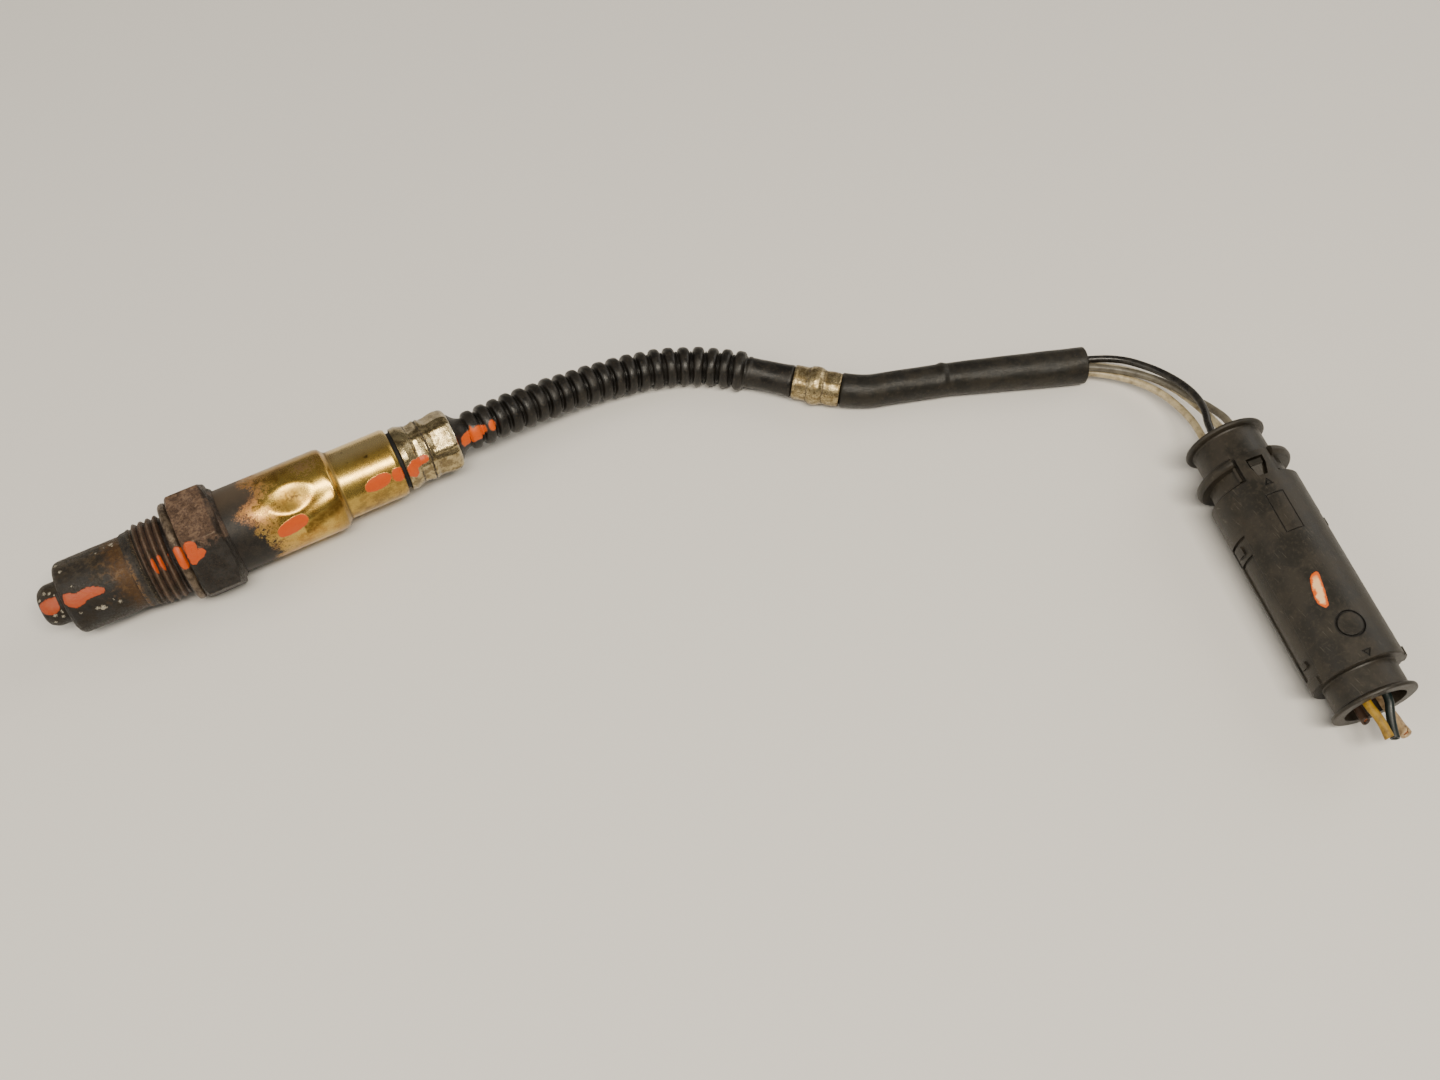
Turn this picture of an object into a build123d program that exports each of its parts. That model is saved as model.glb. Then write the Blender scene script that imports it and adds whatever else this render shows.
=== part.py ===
from build123d import *
import os
import math

os.makedirs("parts", exist_ok=True)

# ---------------------------------------------------------------------------
# Four-wire exhaust oxygen sensor with lead and mated in-line connector.
# Frame: millimetres.  +X runs along the sensor axis from the probe tip to the
# cable end, +Z is up.  The sensor lies on one flat of its hexagon, so its axis
# is at half the width across flats.  The origin is under the middle of the
# sensor body (probe tip to rear crimp) on the surface it lies on.
# ---------------------------------------------------------------------------

# ---- driving dimensions: sensor ------------------------------------------
hex_af = 22.0                 # across flats
axis_z = hex_af / 2           # height of the sensor axis
x_tip = -45.2                 # probe tip
x_end = 45.2                  # rear face of the crimp sleeve
thread_r = 9.0                # M18 x 1.5, drawn as its major cylinder
x_collar0, x_collar1 = -25.6, -23.3
x_thread0, x_thread1 = -22.6, -17.2
x_ring0, x_ring1 = -16.4, -14.6
x_hex0, x_hex1 = -14.5, -6.2
x_shoulder = -5.3
tube_in_r, tube_out_r, tube_t = 4.7, 7.85, 0.5
x_out0 = -40.0                # front face of the outer tube
x_flange = -24.8              # both tube flanges sit here, under the rolled collar
sleeve_r1, sleeve_r2, sleeve_t = 9.1, 7.6, 0.5
x_step, x_sleeve_end = 18.5, 32.0
crimp_r = 6.5
x_crimp0 = 30.6               # front edge of the crimp sleeve, inside the big sleeve
wire_d = 1.7
pitch_in = 1.9                # half spacing of the four bores inside the sensor
pitch_b = 0.95                # half spacing of the wires in the bundle

# ---- driving dimensions: connector ---------------------------------------
con_x, con_y, con_ang = 192.82, -78.88, -100.0   # sensor-side end of the axis, and its bearing
con_r = 9.65                  # main barrel
collar_r = 10.4               # collar behind the sensor-side flange
con_roll = 8.0                # the latch side leans over by this much
con_pitch = 2.6               # half spacing of the terminals
flange_r, upper_r, recess_r, lower_r = 8.85, 7.5, 8.1, 7.6
w_collar0, w_collar1 = 8.3, 10.3
w_body0, w_body1 = 14.1, 58.4
w_end = 65.0
tongue_a = 22.0               # half angle of the latch tongue
# it lies on its collar and on the harness end of the main barrel
con_tilt = math.degrees(math.atan((collar_r - con_r) / (w_body1 - (w_collar0 + w_collar1) / 2)))
con_z0 = collar_r + (w_collar0 + w_collar1) / 2 * math.tan(math.radians(con_tilt))


def rev_x(pts, z=axis_z):
    """solid of revolution about the line y=0, z=z from (x, r) points"""
    face = Plane.XZ * make_face(Polyline(*[(x, r) for x, r in pts], close=True))
    s = revolve(face, Axis((0, 0, 0), (1, 0, 0)), 360)
    return Location((0, 0, z)) * s


def rod_x(x0, x1, r, y=0.0, z=axis_z):
    c = Cylinder(r, x1 - x0, align=(Align.CENTER, Align.CENTER, Align.MIN))
    return Location((x0, y, z), (0, 90, 0)) * c


def box_x(x0, x1, y0, y1, z0, z1):
    return Location((x0, y0, z0)) * Box(x1 - x0, y1 - y0, z1 - z0,
                                        align=(Align.MIN, Align.MIN, Align.MIN))


def four(h):
    """corners of a square, as (y, z)"""
    return [(h, h), (-h, h), (-h, -h), (h, -h)]


parts = {}

# ---------------------------------------------------------------------------
# probe: two nested protection tubes, both flanged at the rear and held under
# the rolled collar of the housing
# ---------------------------------------------------------------------------
t = tube_t
inner = rev_x([(x_tip, 0), (x_tip, 2.6), (x_tip + 0.35, 3.5), (x_tip + 1.0, 4.15),
               (x_tip + 2.0, 4.55), (x_tip + 3.2, tube_in_r), (x_flange, tube_in_r),
               (x_flange, 7.0), (x_flange + t, 7.0), (x_flange + t, tube_in_r - t),
               (x_tip + 3.4, tube_in_r - t), (x_tip + 2.2, 4.1), (x_tip + 1.3, 3.7),
               (x_tip + 0.8, 3.2), (x_tip + t, 2.4), (x_tip + t, 0)])
# gas holes, covered by the outer tube
for k in range(6):
    h = Location((-30.0, 0, axis_z), (60 * k + 30, 0, 0)) * Location((0, 0, 0)) * Cylinder(
        0.6, 12, align=(Align.CENTER, Align.CENTER, Align.MIN))
    inner = inner - h
parts["inner_protection_tube"] = inner

outer = rev_x([(x_out0, 5.15), (x_out0, 6.5), (x_out0 + 0.25, 7.1), (x_out0 + 0.7, 7.55),
               (x_out0 + 1.4, tube_out_r), (x_flange, tube_out_r), (x_flange, 8.1),
               (x_flange + t, 8.1), (x_flange + t, 7.05), (x_flange, 7.05),
               (x_flange, tube_out_r - t), (x_out0 + 1.5, tube_out_r - t),
               (x_out0 + 1.0, 7.15), (x_out0 + 0.65, 6.8), (x_out0 + t, 6.4),
               (x_out0 + t, 5.15)])
parts["outer_protection_tube"] = outer

# ---------------------------------------------------------------------------
# housing: collar, thread, relief, hexagon and weld shoulder, stepped bore
# ---------------------------------------------------------------------------
turned = rev_x([(x_collar0, 7.9), (x_collar0, 8.15), (x_collar0 + 0.3, 8.35), (x_collar1, 8.35),
                (x_collar1, 8.05), (x_thread0, 8.05), (x_thread0, 8.4),
                (x_thread0 + 0.55, thread_r), (x_thread1, thread_r), (x_thread1 + 0.4, 8.3),
                (x_ring0 + 0.3, 8.3), (x_hex0, 8.3), (x_hex0, 8.0), (x_shoulder, 8.0),
                (x_shoulder, 6.3), (x_hex1 - 4.0, 6.3), (x_hex1 - 4.0, 5.6), (-19.0, 5.6),
                (-19.0, 4.0), (x_flange + t + 0.02, 4.0), (x_flange + t + 0.02, 8.12),
                (x_flange - 0.02, 8.12), (x_flange - 0.02, 7.9)])
hexa = Location((x_hex0, 0, axis_z), (0, 90, 0)) * extrude(
    RegularPolygon(hex_af / 2, 6, major_radius=False, rotation=30), x_hex1 - x_hex0)
# across-corner edges chamfered by a 30 degree turned cone on both faces
limit = rev_x([(x_hex0, 0), (x_hex0, 11.35), (x_hex0 + 0.8, 12.75), (x_hex1 - 1.0, 12.75),
               (x_hex1, 11.1), (x_hex1, 0)])
hexa = hexa & limit
hexa = hexa - rod_x(x_hex0 - 1, x_hex1 + 1, 7.9)
shoulder = rev_x([(x_hex1 - 0.5, 7.9), (x_hex1 - 0.5, 10.2), (x_hex1, 10.2), (x_shoulder, 9.55),
                  (x_shoulder, 7.9)])
housing = turned + hexa + shoulder
# seat for the front of the protective sleeve
housing = housing - rev_x([(x_shoulder - 0.6, 8.6), (x_shoulder - 0.6, 9.12), (x_shoulder + 1, 9.12),
                           (x_shoulder + 1, 8.6)])
parts["hex_housing"] = housing

parts["seal_ring"] = rev_x([(x_ring0, 9.25), (x_ring0, 10.2), (x_ring0 + 0.35, 10.62), (x_ring0 + 0.9, 10.75),
                            (x_ring1 - 0.35, 10.6), (x_ring1, 10.2), (x_ring1, 8.55),
                            (x_ring1 - 0.5, 8.45), (x_ring0 + 0.5, 8.45), (x_ring0 + 0.2, 8.8)])

# ---------------------------------------------------------------------------
# sensing element and what holds it
# ---------------------------------------------------------------------------
parts["sensing_element"] = rev_x([(-43.6, 0), (-43.5, 0.9), (-43.0, 1.6), (-42.0, 2.1), (-22.0, 2.9),
                                  (-19.0, 3.2), (-18.0, 3.4), (-17.6, 4.7), (-13.0, 4.7), (-12.2, 3.6),
                                  (0.0, 3.6), (0.0, 1.75), (-22.0, 1.75), (-41.6, 1.35), (-42.3, 0.8),
                                  (-42.5, 0)])
parts["heater_rod"] = rev_x([(-41.9, 0), (-41.5, 0.9), (-40.9, 1.2), (9.0, 1.2), (9.0, 0)])
parts["support_ceramic"] = rev_x([(-18.9, 3.5), (-18.9, 5.5), (-12.9, 5.5), (-12.9, 4.8), (-17.7, 4.8),
                                  (-18.1, 3.5)])
parts["powder_packing"] = rev_x([(-12.1, 3.65), (-12.9, 4.75), (-12.9, 5.5), (-10.15, 5.5), (-10.15, 6.2),
                                 (-9.0, 6.2), (-9.0, 3.65)])
parts["ceramic_bush"] = rev_x([(-9.0, 3.7), (-9.0, 6.2), (-5.8, 6.2), (-5.8, 3.7)])
parts["packing_washer"] = rev_x([(-5.8, 3.75), (-5.8, 6.2), (-5.0, 6.2), (-5.0, 3.75)])

# ---------------------------------------------------------------------------
# stepped protective sleeve, welded to the housing shoulder
# ---------------------------------------------------------------------------
s = sleeve_t
parts["protective_sleeve"] = rev_x([
    (x_shoulder - 0.6, sleeve_r1 - s), (x_shoulder - 0.6, sleeve_r1), (x_step - 1.6, sleeve_r1),
    (x_step - 0.9, sleeve_r1 - 0.2), (x_step - 0.3, sleeve_r1 - 0.75), (x_step, sleeve_r2),
    (x_sleeve_end - 0.8, sleeve_r2), (x_sleeve_end - 0.2, sleeve_r2 - 0.3),
    (x_sleeve_end, sleeve_r2 - 0.8), (x_sleeve_end, 6.35), (x_sleeve_end - s, 6.35),
    (x_sleeve_end - s, 6.75), (x_sleeve_end - 0.9, sleeve_r2 - s), (x_step - 0.3, sleeve_r2 - s),
    (x_step - 0.7, sleeve_r1 - 1.0), (x_step - 1.2, sleeve_r1 - 0.65), (x_step - 1.8, sleeve_r1 - s)])

# ball dent knocked into the big sleeve on the upper front side
dent_x, dent_a, dent_r, dent_d = 8.5, 24.7, 9.0, 1.1
rc = sleeve_r1 + dent_r - dent_d
at = Location((dent_x, -rc * math.sin(math.radians(dent_a)), axis_z + rc * math.cos(math.radians(dent_a))))
ball = at * Sphere(dent_r)
wall = (at * Sphere(dent_r + s) - ball) & rod_x(x_shoulder + 1, x_step - 2, sleeve_r1)
parts["protective_sleeve"] = (parts["protective_sleeve"] - ball) + wall

# contact holder: ceramic insulator with a centre bore and four contact bores
holder = rev_x([(1.0, 4.2), (1.0, 7.2), (16.0, 7.2), (16.4, 6.9), (24.0, 6.9), (24.0, 0), (10.0, 0),
                (10.0, 4.2)])
for y, z in four(pitch_in):
    holder = holder - rod_x(9.9, 24.1, 1.05, y, axis_z + z)
parts["contact_holder"] = holder

# spring contacts: blades that grip the element and the heater, tails in the bores
clips = []
for y, z in four(pitch_in):
    tail = rod_x(9.3, 25.0, 0.75, y, axis_z + z)
    a = math.degrees(math.atan2(z, y))
    if y > 0:      # signal and ground: fingers on the outside of the element
        blade = Location((0, 0, axis_z), (a, 0, 0)) * box_x(-3.4, 9.9, 3.62, 3.95, -0.7, 0.7)
        web = Location((0, 0, axis_z), (a, 0, 0)) * box_x(9.3, 9.9, 2.0, 3.95, -0.7, 0.7)
    else:          # heater supply: fingers on the heater rod
        blade = Location((0, 0, axis_z), (a, 0, 0)) * box_x(2.0, 9.9, 1.22, 1.5, -0.5, 0.5)
        web = Location((0, 0, axis_z), (a, 0, 0)) * box_x(9.3, 9.9, 1.22, 2.7, -0.5, 0.5)
    clips.append(tail + blade + web)
parts["contact_clips"] = Compound(children=clips)

spring = rev_x([(24.05, 4.6), (24.05, 6.8), (24.35, 6.8), (24.95, 5.0), (24.95, 4.6)])
parts["holder_spring"] = spring

# crimp barrels join the clip tails to the wires
terms = []
for y, z in four(pitch_in):
    b = rod_x(25.0, 31.4, 1.2, y, axis_z + z)
    b = b - rod_x(26.2, 31.5, wire_d / 2 + 0.02, y, axis_z + z)
    terms.append(b)
parts["crimp_terminals"] = Compound(children=terms)

# rear crimp sleeve: its front lip turns out against the end of the big sleeve
c = 0.6
crimp = rev_x([
    (x_crimp0, 5.75), (x_crimp0, 6.3), (34.0, 6.3), (34.35, 6.95), (35.0, 7.0), (35.9, 6.45),
    (36.8, 6.3), (38.2, 6.72), (39.2, 6.75), (40.2, 6.3), (41.0, 6.25), (42.2, 6.55), (43.8, 6.6),
    (44.7, 6.45), (x_end, 6.0), (x_end, 5.55), (43.8, 5.95), (42.2, 5.9), (41.0, 5.65),
    (40.2, 5.7), (39.2, 6.15), (38.2, 6.1), (36.8, 5.7), (35.9, 5.75)])
parts["rear_crimp_sleeve"] = crimp

grommet = rev_x([(32.2, 0), (32.2, 5.7), (36.6, 5.65), (38.2, 6.05), (39.2, 6.1), (40.1, 5.65),
                 (40.6, 5.6), (40.6, 0)])
for y, z in four(pitch_in):
    grommet = grommet - rod_x(32.1, 40.7, wire_d / 2, y, axis_z + z)
parts["rear_grommet"] = grommet

# ---------------------------------------------------------------------------
# lead: the centre route of the boot, ferrule, cable sleeve and wire bundle
# ---------------------------------------------------------------------------
route = [(53.0, 0.2, 10.75), (62.0, 1.0, 9.6), (71.5, 1.5, 8.2), (81.0, 1.4, 6.85), (90.0, 0.6, 5.75),
         (98.0, -1.3, 5.0), (105.3, -4.8, 4.65), (112.2, -10.0, 4.5), (120.5, -17.5, 4.45),
         (131.6, -27.0, 4.4), (140.6, -29.6, 4.3), (152.0, -33.2, 4.25), (166.3, -38.6, 4.25),
         (181.4, -44.4, 4.3)]
i_cuff, i_ferrule, i_kink = 7, 8, 9      # points where the cuff and ferrule start and where the sleeve bends
ferrule_len = 10.8


def rounded(pts, name=None):
    """straight runs joined by tangent arcs, each arc as large as its runs allow"""
    v = [Vector(*p) for p in pts]
    rad = []
    for i in range(1, len(v) - 1):
        a, b = v[i] - v[i - 1], v[i + 1] - v[i]
        turn = math.radians(a.get_angle(b))
        rad.append(0.45 * min(a.length, b.length) / math.tan(turn / 2))
    if name:
        print(name, "min radius", round(min(rad), 1), "radii", [round(r, 1) for r in rad])
    if not rad:
        return Line(pts[0], pts[1])
    return FilletPolyline(*pts, radius=rad)


def tube(path, r_out, r_in=None):
    p0, d0 = path @ 0, path % 0
    pl = Plane(origin=p0, z_dir=d0)
    prof = Circle(r_out) if r_in is None else Circle(r_out) - Circle(r_in)
    return sweep(pl * prof, path=path)


def seg_frame(p, q):
    """plane at p with its X axis towards q, Z kept as upright as possible"""
    d = (Vector(*q) - Vector(*p)).normalized()
    yv = Vector(0, 0, 1).cross(d).normalized()
    zv = d.cross(yv)
    return Plane(origin=p, x_dir=yv, z_dir=d)   # local z along the run


def rev_run(p, q, pts):
    """solid of revolution about the run p-q from (distance, r) points"""
    face = Plane.XZ * make_face(Polyline(*[(r, w) for w, r in pts], close=True))
    s_ = revolve(face, Axis.Z, 360)
    return seg_frame(p, q).location * s_


# boot: plug inside the crimp sleeve, cone, tube of the crest diameter, cuff and spigot
boot_r, boot_in = 4.4, 2.45
p_c, p_f, p_k = route[i_cuff], route[i_ferrule], route[i_kink]
cuff_len = (Vector(*p_f) - Vector(*p_c)).length
b_path = rounded([(49.0, 0.0, axis_z)] + route[:i_ferrule], "boot")
boot = tube(b_path, boot_r)
boot = boot + rev_x([(40.65, 0), (40.65, 5.6), (41.0, 5.6), (42.2, 5.85), (43.8, 5.9), (x_end, 5.5), (46.6, 4.7),
                     (48.0, 3.9), (49.0, 3.6), (49.0, 0)])
boot = boot + rev_run(p_c, p_f, [(-0.05, 0), (-0.05, 3.5), (cuff_len, 3.45), (cuff_len, 0)])
boot = boot + rev_run(p_f, p_k, [(-0.3, 0), (-0.3, 3.1), (4.6, 3.1), (4.6, 0)])
boot = boot - tube(rounded([(44.6, 0.0, axis_z)] + route[:i_kink + 1]), boot_in)
boot = boot - rev_run((44.6, 0.0, axis_z), route[0], [(-5.0, 0), (-5.0, 3.75), (0.2, 3.7), (8.0, boot_in), (8.0, 0)])
parts["rubber_boot"] = boot

# ferrule: two crimped bands and a round bulge between them
L = ferrule_len
parts["ferrule"] = rev_run(p_f, p_k, [
    (0.1, 3.12), (0.1, 3.7), (0.4, 3.85), (3.1, 3.85), (3.6, 4.0), (4.1, 4.25), (5.0, 4.38), (5.9, 4.3),
    (6.6, 4.05), (7.0, 3.8), (L - 0.3, 3.8), (L, 3.65), (L, 3.12), (7.0, 3.12), (6.4, 3.3),
    (5.4, 3.6), (4.4, 3.5), (3.4, 3.12)])

# cable sleeve: spigot in the ferrule, bend right behind it, then a straight tube
sl_r = 3.95
u = (Vector(*p_k) - Vector(*p_f)).normalized()
s0 = Vector(*p_f) + u * 6.0
s_path = rounded([(s0.X, s0.Y, s0.Z)] + route[i_kink:], "cable sleeve")
sl = tube(s_path, sl_r)
sl = sl - rev_run(p_f, p_k, [(5.9, 3.1), (5.9, 6.0), (L + 0.02, 6.0), (L + 0.02, 3.1)])
sl = sl - tube(s_path, boot_in)
parts["cable_sleeve"] = sl

# ---------------------------------------------------------------------------
# connector: local frame with X along its axis from the sensor side to the
# harness side, Y across and Z towards the latch
# ---------------------------------------------------------------------------
con = Location((con_x, con_y, con_z0), (0, 0, con_ang)) * Location((0, 0, 0), (0, con_tilt, 0)) * Location(
    (0, 0, 0), (con_roll, 0, 0))


def cpt(w, y, z):
    """point of the connector's own frame in the row frame"""
    p = (con * Location((w, y, z))).position
    return (p.X, p.Y, p.Z)


def crev(pts):
    return con * rev_x(pts, 0)


def crod(x0, x1, r, y=0.0, z=0.0):
    return con * rod_x(x0, x1, r, y, z)


def cbox(x0, x1, y0, y1, z0, z1):
    return con * box_x(x0, x1, y0, y1, z0, z1)


def sector(w0, w1, r0, r1, a0, a1):
    """ring sector between angles a0 and a1, measured from the latch side towards +Y"""
    n = 16
    arc = lambda r, i0, i1: [(r * math.sin(math.radians(i0 + (i1 - i0) * i / n)),
                              r * math.cos(math.radians(i0 + (i1 - i0) * i / n))) for i in range(n + 1)]
    sk = Plane.YZ * make_face(Polyline(*(arc(r0, a0, a1) + arc(r1, a1, a0)), close=True))
    return con * (Location((w0, 0, 0)) * extrude(sk, w1 - w0))


def down_prism(pts, z0, z1):
    """prism over (w, y) points from z0 to z1, on the latch side"""
    return con * (Location((0, 0, z0)) * extrude(make_face(Polyline(*pts, close=True)), z1 - z0))


# sensor half: flange, short barrel, collar with a gap for the tongue, and the
# long core that slides into the other half
plug = crev([(0, 6.6), (0, 8.35), (0.15, 8.7), (0.5, flange_r), (0.95, 8.75), (1.15, 8.4), (1.3, upper_r + 0.15),
             (1.6, upper_r), (w_collar0 - 0.2, upper_r), (w_collar0 + 0.1, 8.0), (w_body0 - 0.05, recess_r),
             (w_body0 - 0.05, 7.0), (30.0, 7.0), (30.0, 0), (9.0, 0), (9.0, 6.4), (0.8, 6.4)])
collar = crev([(w_collar0, 7.3), (w_collar0 + 0.05, 9.9), (w_collar0 + 0.35, 10.3), (w_collar0 + 0.8, collar_r),
               (w_collar1 - 0.7, collar_r), (w_collar1 - 0.3, 10.2), (w_collar1, 9.8), (w_collar1 + 0.1, 7.3)])
collar = collar - sector(w_collar0 - 1, w_collar1 + 1, 7.8, 13.0, -tongue_a - 3.6, tongue_a + 3.6)
plug = plug + collar
# guide ribs each side of the latch tongue
for sgn in (-1, 1):
    plug = plug + sector(w_collar1 - 0.3, w_body0 - 0.4, 7.5, 9.0, sgn * 28.5 - 2.0, sgn * 28.5 + 2.0)
# catch in the tongue's window: a block and a ramp that falls towards the harness
plug = plug + down_prism([(10.4, -1.45), (10.4, 1.45), (11.65, 1.4), (11.65, -1.4)], 7.0, 9.15)
ramp = down_prism([(11.6, -1.25), (11.6, 1.25), (14.0, 0.6), (14.0, -0.6)], 7.0, 9.6)
ramp = ramp - con * (Location((11.6, 0, 8.9), (0, 15, 0)) * Box(8, 6, 4, align=(Align.CENTER, Align.CENTER, Align.MIN)))
plug = plug + ramp
for y, z in four(con_pitch):
    plug = plug - crod(8.9, 30.1, 1.35, y, z)
parts["plug_housing"] = plug

# harness half: main barrel with the latch tongue, lower barrel and flange
sock = crev([(w_body0, 7.75), (w_body0, con_r - 0.3), (w_body0 + 0.3, con_r), (w_body1 - 0.25, con_r),
             (w_body1, con_r - 0.25), (w_body1, lower_r + 0.1), (w_body1 + 0.3, lower_r), (w_end - 1.2, lower_r),
             (w_end - 1.0, 8.4), (w_end - 0.75, 8.75), (w_end - 0.45, flange_r), (w_end - 0.1, 8.75),
             (w_end, 8.5), (w_end, 6.4), (51.0, 6.4), (51.0, 0), (31.5, 0), (31.5, 7.75)])
sock = sock + sector(8.6, w_body0 + 0.6, 8.2, con_r, -tongue_a, tongue_a)
sock = sock - down_prism([(10.05, -1.85), (10.05, 1.85), (11.9, 1.8), (14.5, 0.95), (14.5, -0.95), (11.9, -1.8)], 7.7, 12)
# shallow moulded marks: two arrow triangles, a plain ring and a bare label field
def tri(w, s_):
    big = down_prism([(w, 0), (w + s_ * 1.6, 1.0), (w + s_ * 1.6, -1.0)], con_r - 0.25, con_r + 2)
    small = down_prism([(w + s_ * 0.55, 0), (w + s_ * 1.37, 0.52), (w + s_ * 1.37, -0.52)], con_r - 0.5, con_r + 2)
    return big - small


sock = sock - tri(15.4, 1) - tri(57.9, -1)
sock = sock - con * (Location((50.5, 0, con_r - 0.75)) * extrude(Circle(2.9) - Circle(2.45), 3))
sock = sock - con * (Location((50.5, 0, con_r - 0.25)) * extrude(Circle(2.5), 0.2).translate((0, 0, 0.3)))
field = down_prism([(19.0, -1.95), (19.0, 1.95), (28.2, 1.95), (28.2, -1.95)], con_r - 0.33, con_r + 2)
sock = sock - (field - down_prism([(19.2, -1.75), (19.2, 1.75), (28.0, 1.75), (28.0, -1.75)], con_r - 1, con_r + 2))
# both flanks: a catch between two grooves, a long flat channel and an end block
for sgn in (-1, 1):
    c0 = sgn * 80
    sock = sock - sector(24.0, 24.55, con_r - 0.55, con_r + 1, c0 - 21, c0 + 21)
    sock = sock - sector(24.5, 28.3, con_r - 0.18, con_r + 1, c0 - 21, c0 + 21)
    sock = sock - sector(28.3, 28.85, con_r - 0.65, con_r + 1, c0 - 18, c0 + 18)
    sock = sock - sector(28.8, 55.9, con_r - 0.35, con_r + 1, c0 - 18, c0 + 18)
    sock = sock + sector(25.4, 27.2, con_r - 0.6, con_r + 0.2, c0 - 8, c0 + 8)
    sock = sock + sector(52.6, 53.9, con_r - 0.6, con_r + 0.1, c0 - 6, c0 + 6)
    sock = sock + sector(56.6, w_body1, con_r - 0.6, con_r + 0.3, c0 - 13, c0 + 13)
for y, z in four(con_pitch):
    sock = sock - crod(31.4, 51.1, 1.5, y, z)
parts["socket_housing"] = sock


def seal4(w0, w1, r, hole, ribs):
    pts = [(w0, 0), (w0, r - 0.35)]
    L_ = (w1 - w0) / ribs
    for i in range(ribs):
        pts += [(w0 + L_ * (i + 0.25), r - 0.35), (w0 + L_ * (i + 0.5), r), (w0 + L_ * (i + 0.75), r - 0.35)]
    pts += [(w1, r - 0.35), (w1, 0)]
    g = crev(pts)
    for y, z in four(con_pitch):
        g = g - crod(w0 - 1, w1 + 1, hole, y, z)
    return g


hw_d = 1.8                    # harness wires
parts["plug_rear_seal"] = seal4(1.4, 8.6, 6.4, wire_d / 2, 3)
parts["socket_rear_seal"] = seal4(51.4, 62.4, 6.4, hw_d / 2, 4)
parts["interface_seal"] = crev([(17.0, 7.02), (17.0, 7.4), (17.6, 7.72), (18.2, 7.4), (18.8, 7.72), (19.4, 7.4),
                                (19.4, 7.02)])
lock = crev([(30.1, 0), (30.1, 6.6), (31.4, 6.6), (31.4, 0)])
for y, z in four(con_pitch):
    lock = lock - crod(30, 31.5, 0.95, y, z)
parts["terminal_lock"] = lock

pins, socks = [], []
for y, z in four(con_pitch):
    p = crod(9.0, 14.0, 1.25, y, z) - crod(8.9, 12.6, wire_d / 2 + 0.02, y, z)
    p = p + crod(14.0, 24.0, 1.1, y, z) + crod(24.0, 37.0, 0.75, y, z)
    pins.append(p)
    q = crod(32.0, 39.5, 1.35, y, z) - crod(31.9, 38.5, 0.8, y, z)
    q = q + (crod(39.5, 46.0, 1.3, y, z) - crod(40.5, 46.1, hw_d / 2 + 0.02, y, z))
    socks.append(q)
parts["plug_pins"] = Compound(children=pins)
parts["socket_terminals"] = Compound(children=socks)

# ---------------------------------------------------------------------------
# wires: parallel routes from the crimp barrels in the sensor to the plug pins
# ---------------------------------------------------------------------------
def offset_route(sy, sz):
    out = []
    v = [Vector(*p) for p in route]
    for i, p in enumerate(v):
        a = v[i] - v[i - 1] if i > 0 else Vector(1, 0, 0)
        b = v[i + 1] - v[i] if i < len(v) - 1 else v[i] - v[i - 1]
        a, b = Vector(a.X, a.Y, 0).normalized(), Vector(b.X, b.Y, 0).normalized()
        m = (a + b).normalized()
        k = 1 / m.dot(a)
        n = Vector(-m.Y, m.X, 0) * (pitch_b * k * sy)
        out.append((p.X + n.X, p.Y + n.Y, p.Z + pitch_b * sz))
    return out


free = {
    "wire_black": (1, 1, [(188.9, -47.5, 5.9), (192.5, -53.4, 7.4), (194.2, -59.4, 9.3), (194.4, -65.3, 11.3),
                          (193.2, -70.9, 12.7)]),
    "wire_grey": (-1, 1, [(188.2, -50.3, 5.15), (192.3, -55.0, 5.6), (194.9, -60.1, 6.4), (195.8, -65.4, 7.9),
                          (196.1, -71.0, 10.6)]),
    "wire_white_a": (-1, -1, [(188.0, -50.9, 3.4), (191.2, -55.5, 3.8), (192.9, -60.0, 4.4), (193.4, -65.2, 5.3),
                              (192.8, -70.5, 6.6)]),
    "wire_white_b": (1, -1, [(189.4, -48.9, 3.3), (193.5, -53.8, 3.5), (195.9, -58.9, 4.2), (196.6, -64.3, 5.4),
                             (196.5, -70.3, 7.1)]),
}
hole_of = {"wire_black": (-1, 1), "wire_grey": (1, 1), "wire_white_a": (-1, -1), "wire_white_b": (1, -1)}
wire_routes = {}
for n_, (sy, sz, mid) in free.items():
    hy, hz = hole_of[n_]
    pts = [(27.0, pitch_in * sy, axis_z + pitch_in * sz), (44.6, pitch_in * sy, axis_z + pitch_in * sz)]
    pts += offset_route(sy, sz) + mid
    pts += [cpt(-2.4, con_pitch * hy, con_pitch * hz), cpt(10.5, con_pitch * hy, con_pitch * hz)]
    wire_routes[n_] = pts
    path = rounded(pts, n_)
    w = tube(path, wire_d / 2)
    print(n_, "length", round(path.length, 1), "volume ratio", round(w.volume / (math.pi * (wire_d / 2) ** 2 * path.length), 4))
    print("   ", [tuple(round(c_, 2) for c_ in p) for p in pts])
    parts[n_] = w

# cut ends of the vehicle harness behind the connector
def cw(w, lateral, z):
    """point at a station of the connector, a distance across it and a height above the surface"""
    a_ = math.radians(con_ang)
    return (con_x + w * math.cos(a_) - lateral * math.sin(a_), con_y + w * math.sin(a_) + lateral * math.cos(a_), z)


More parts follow.
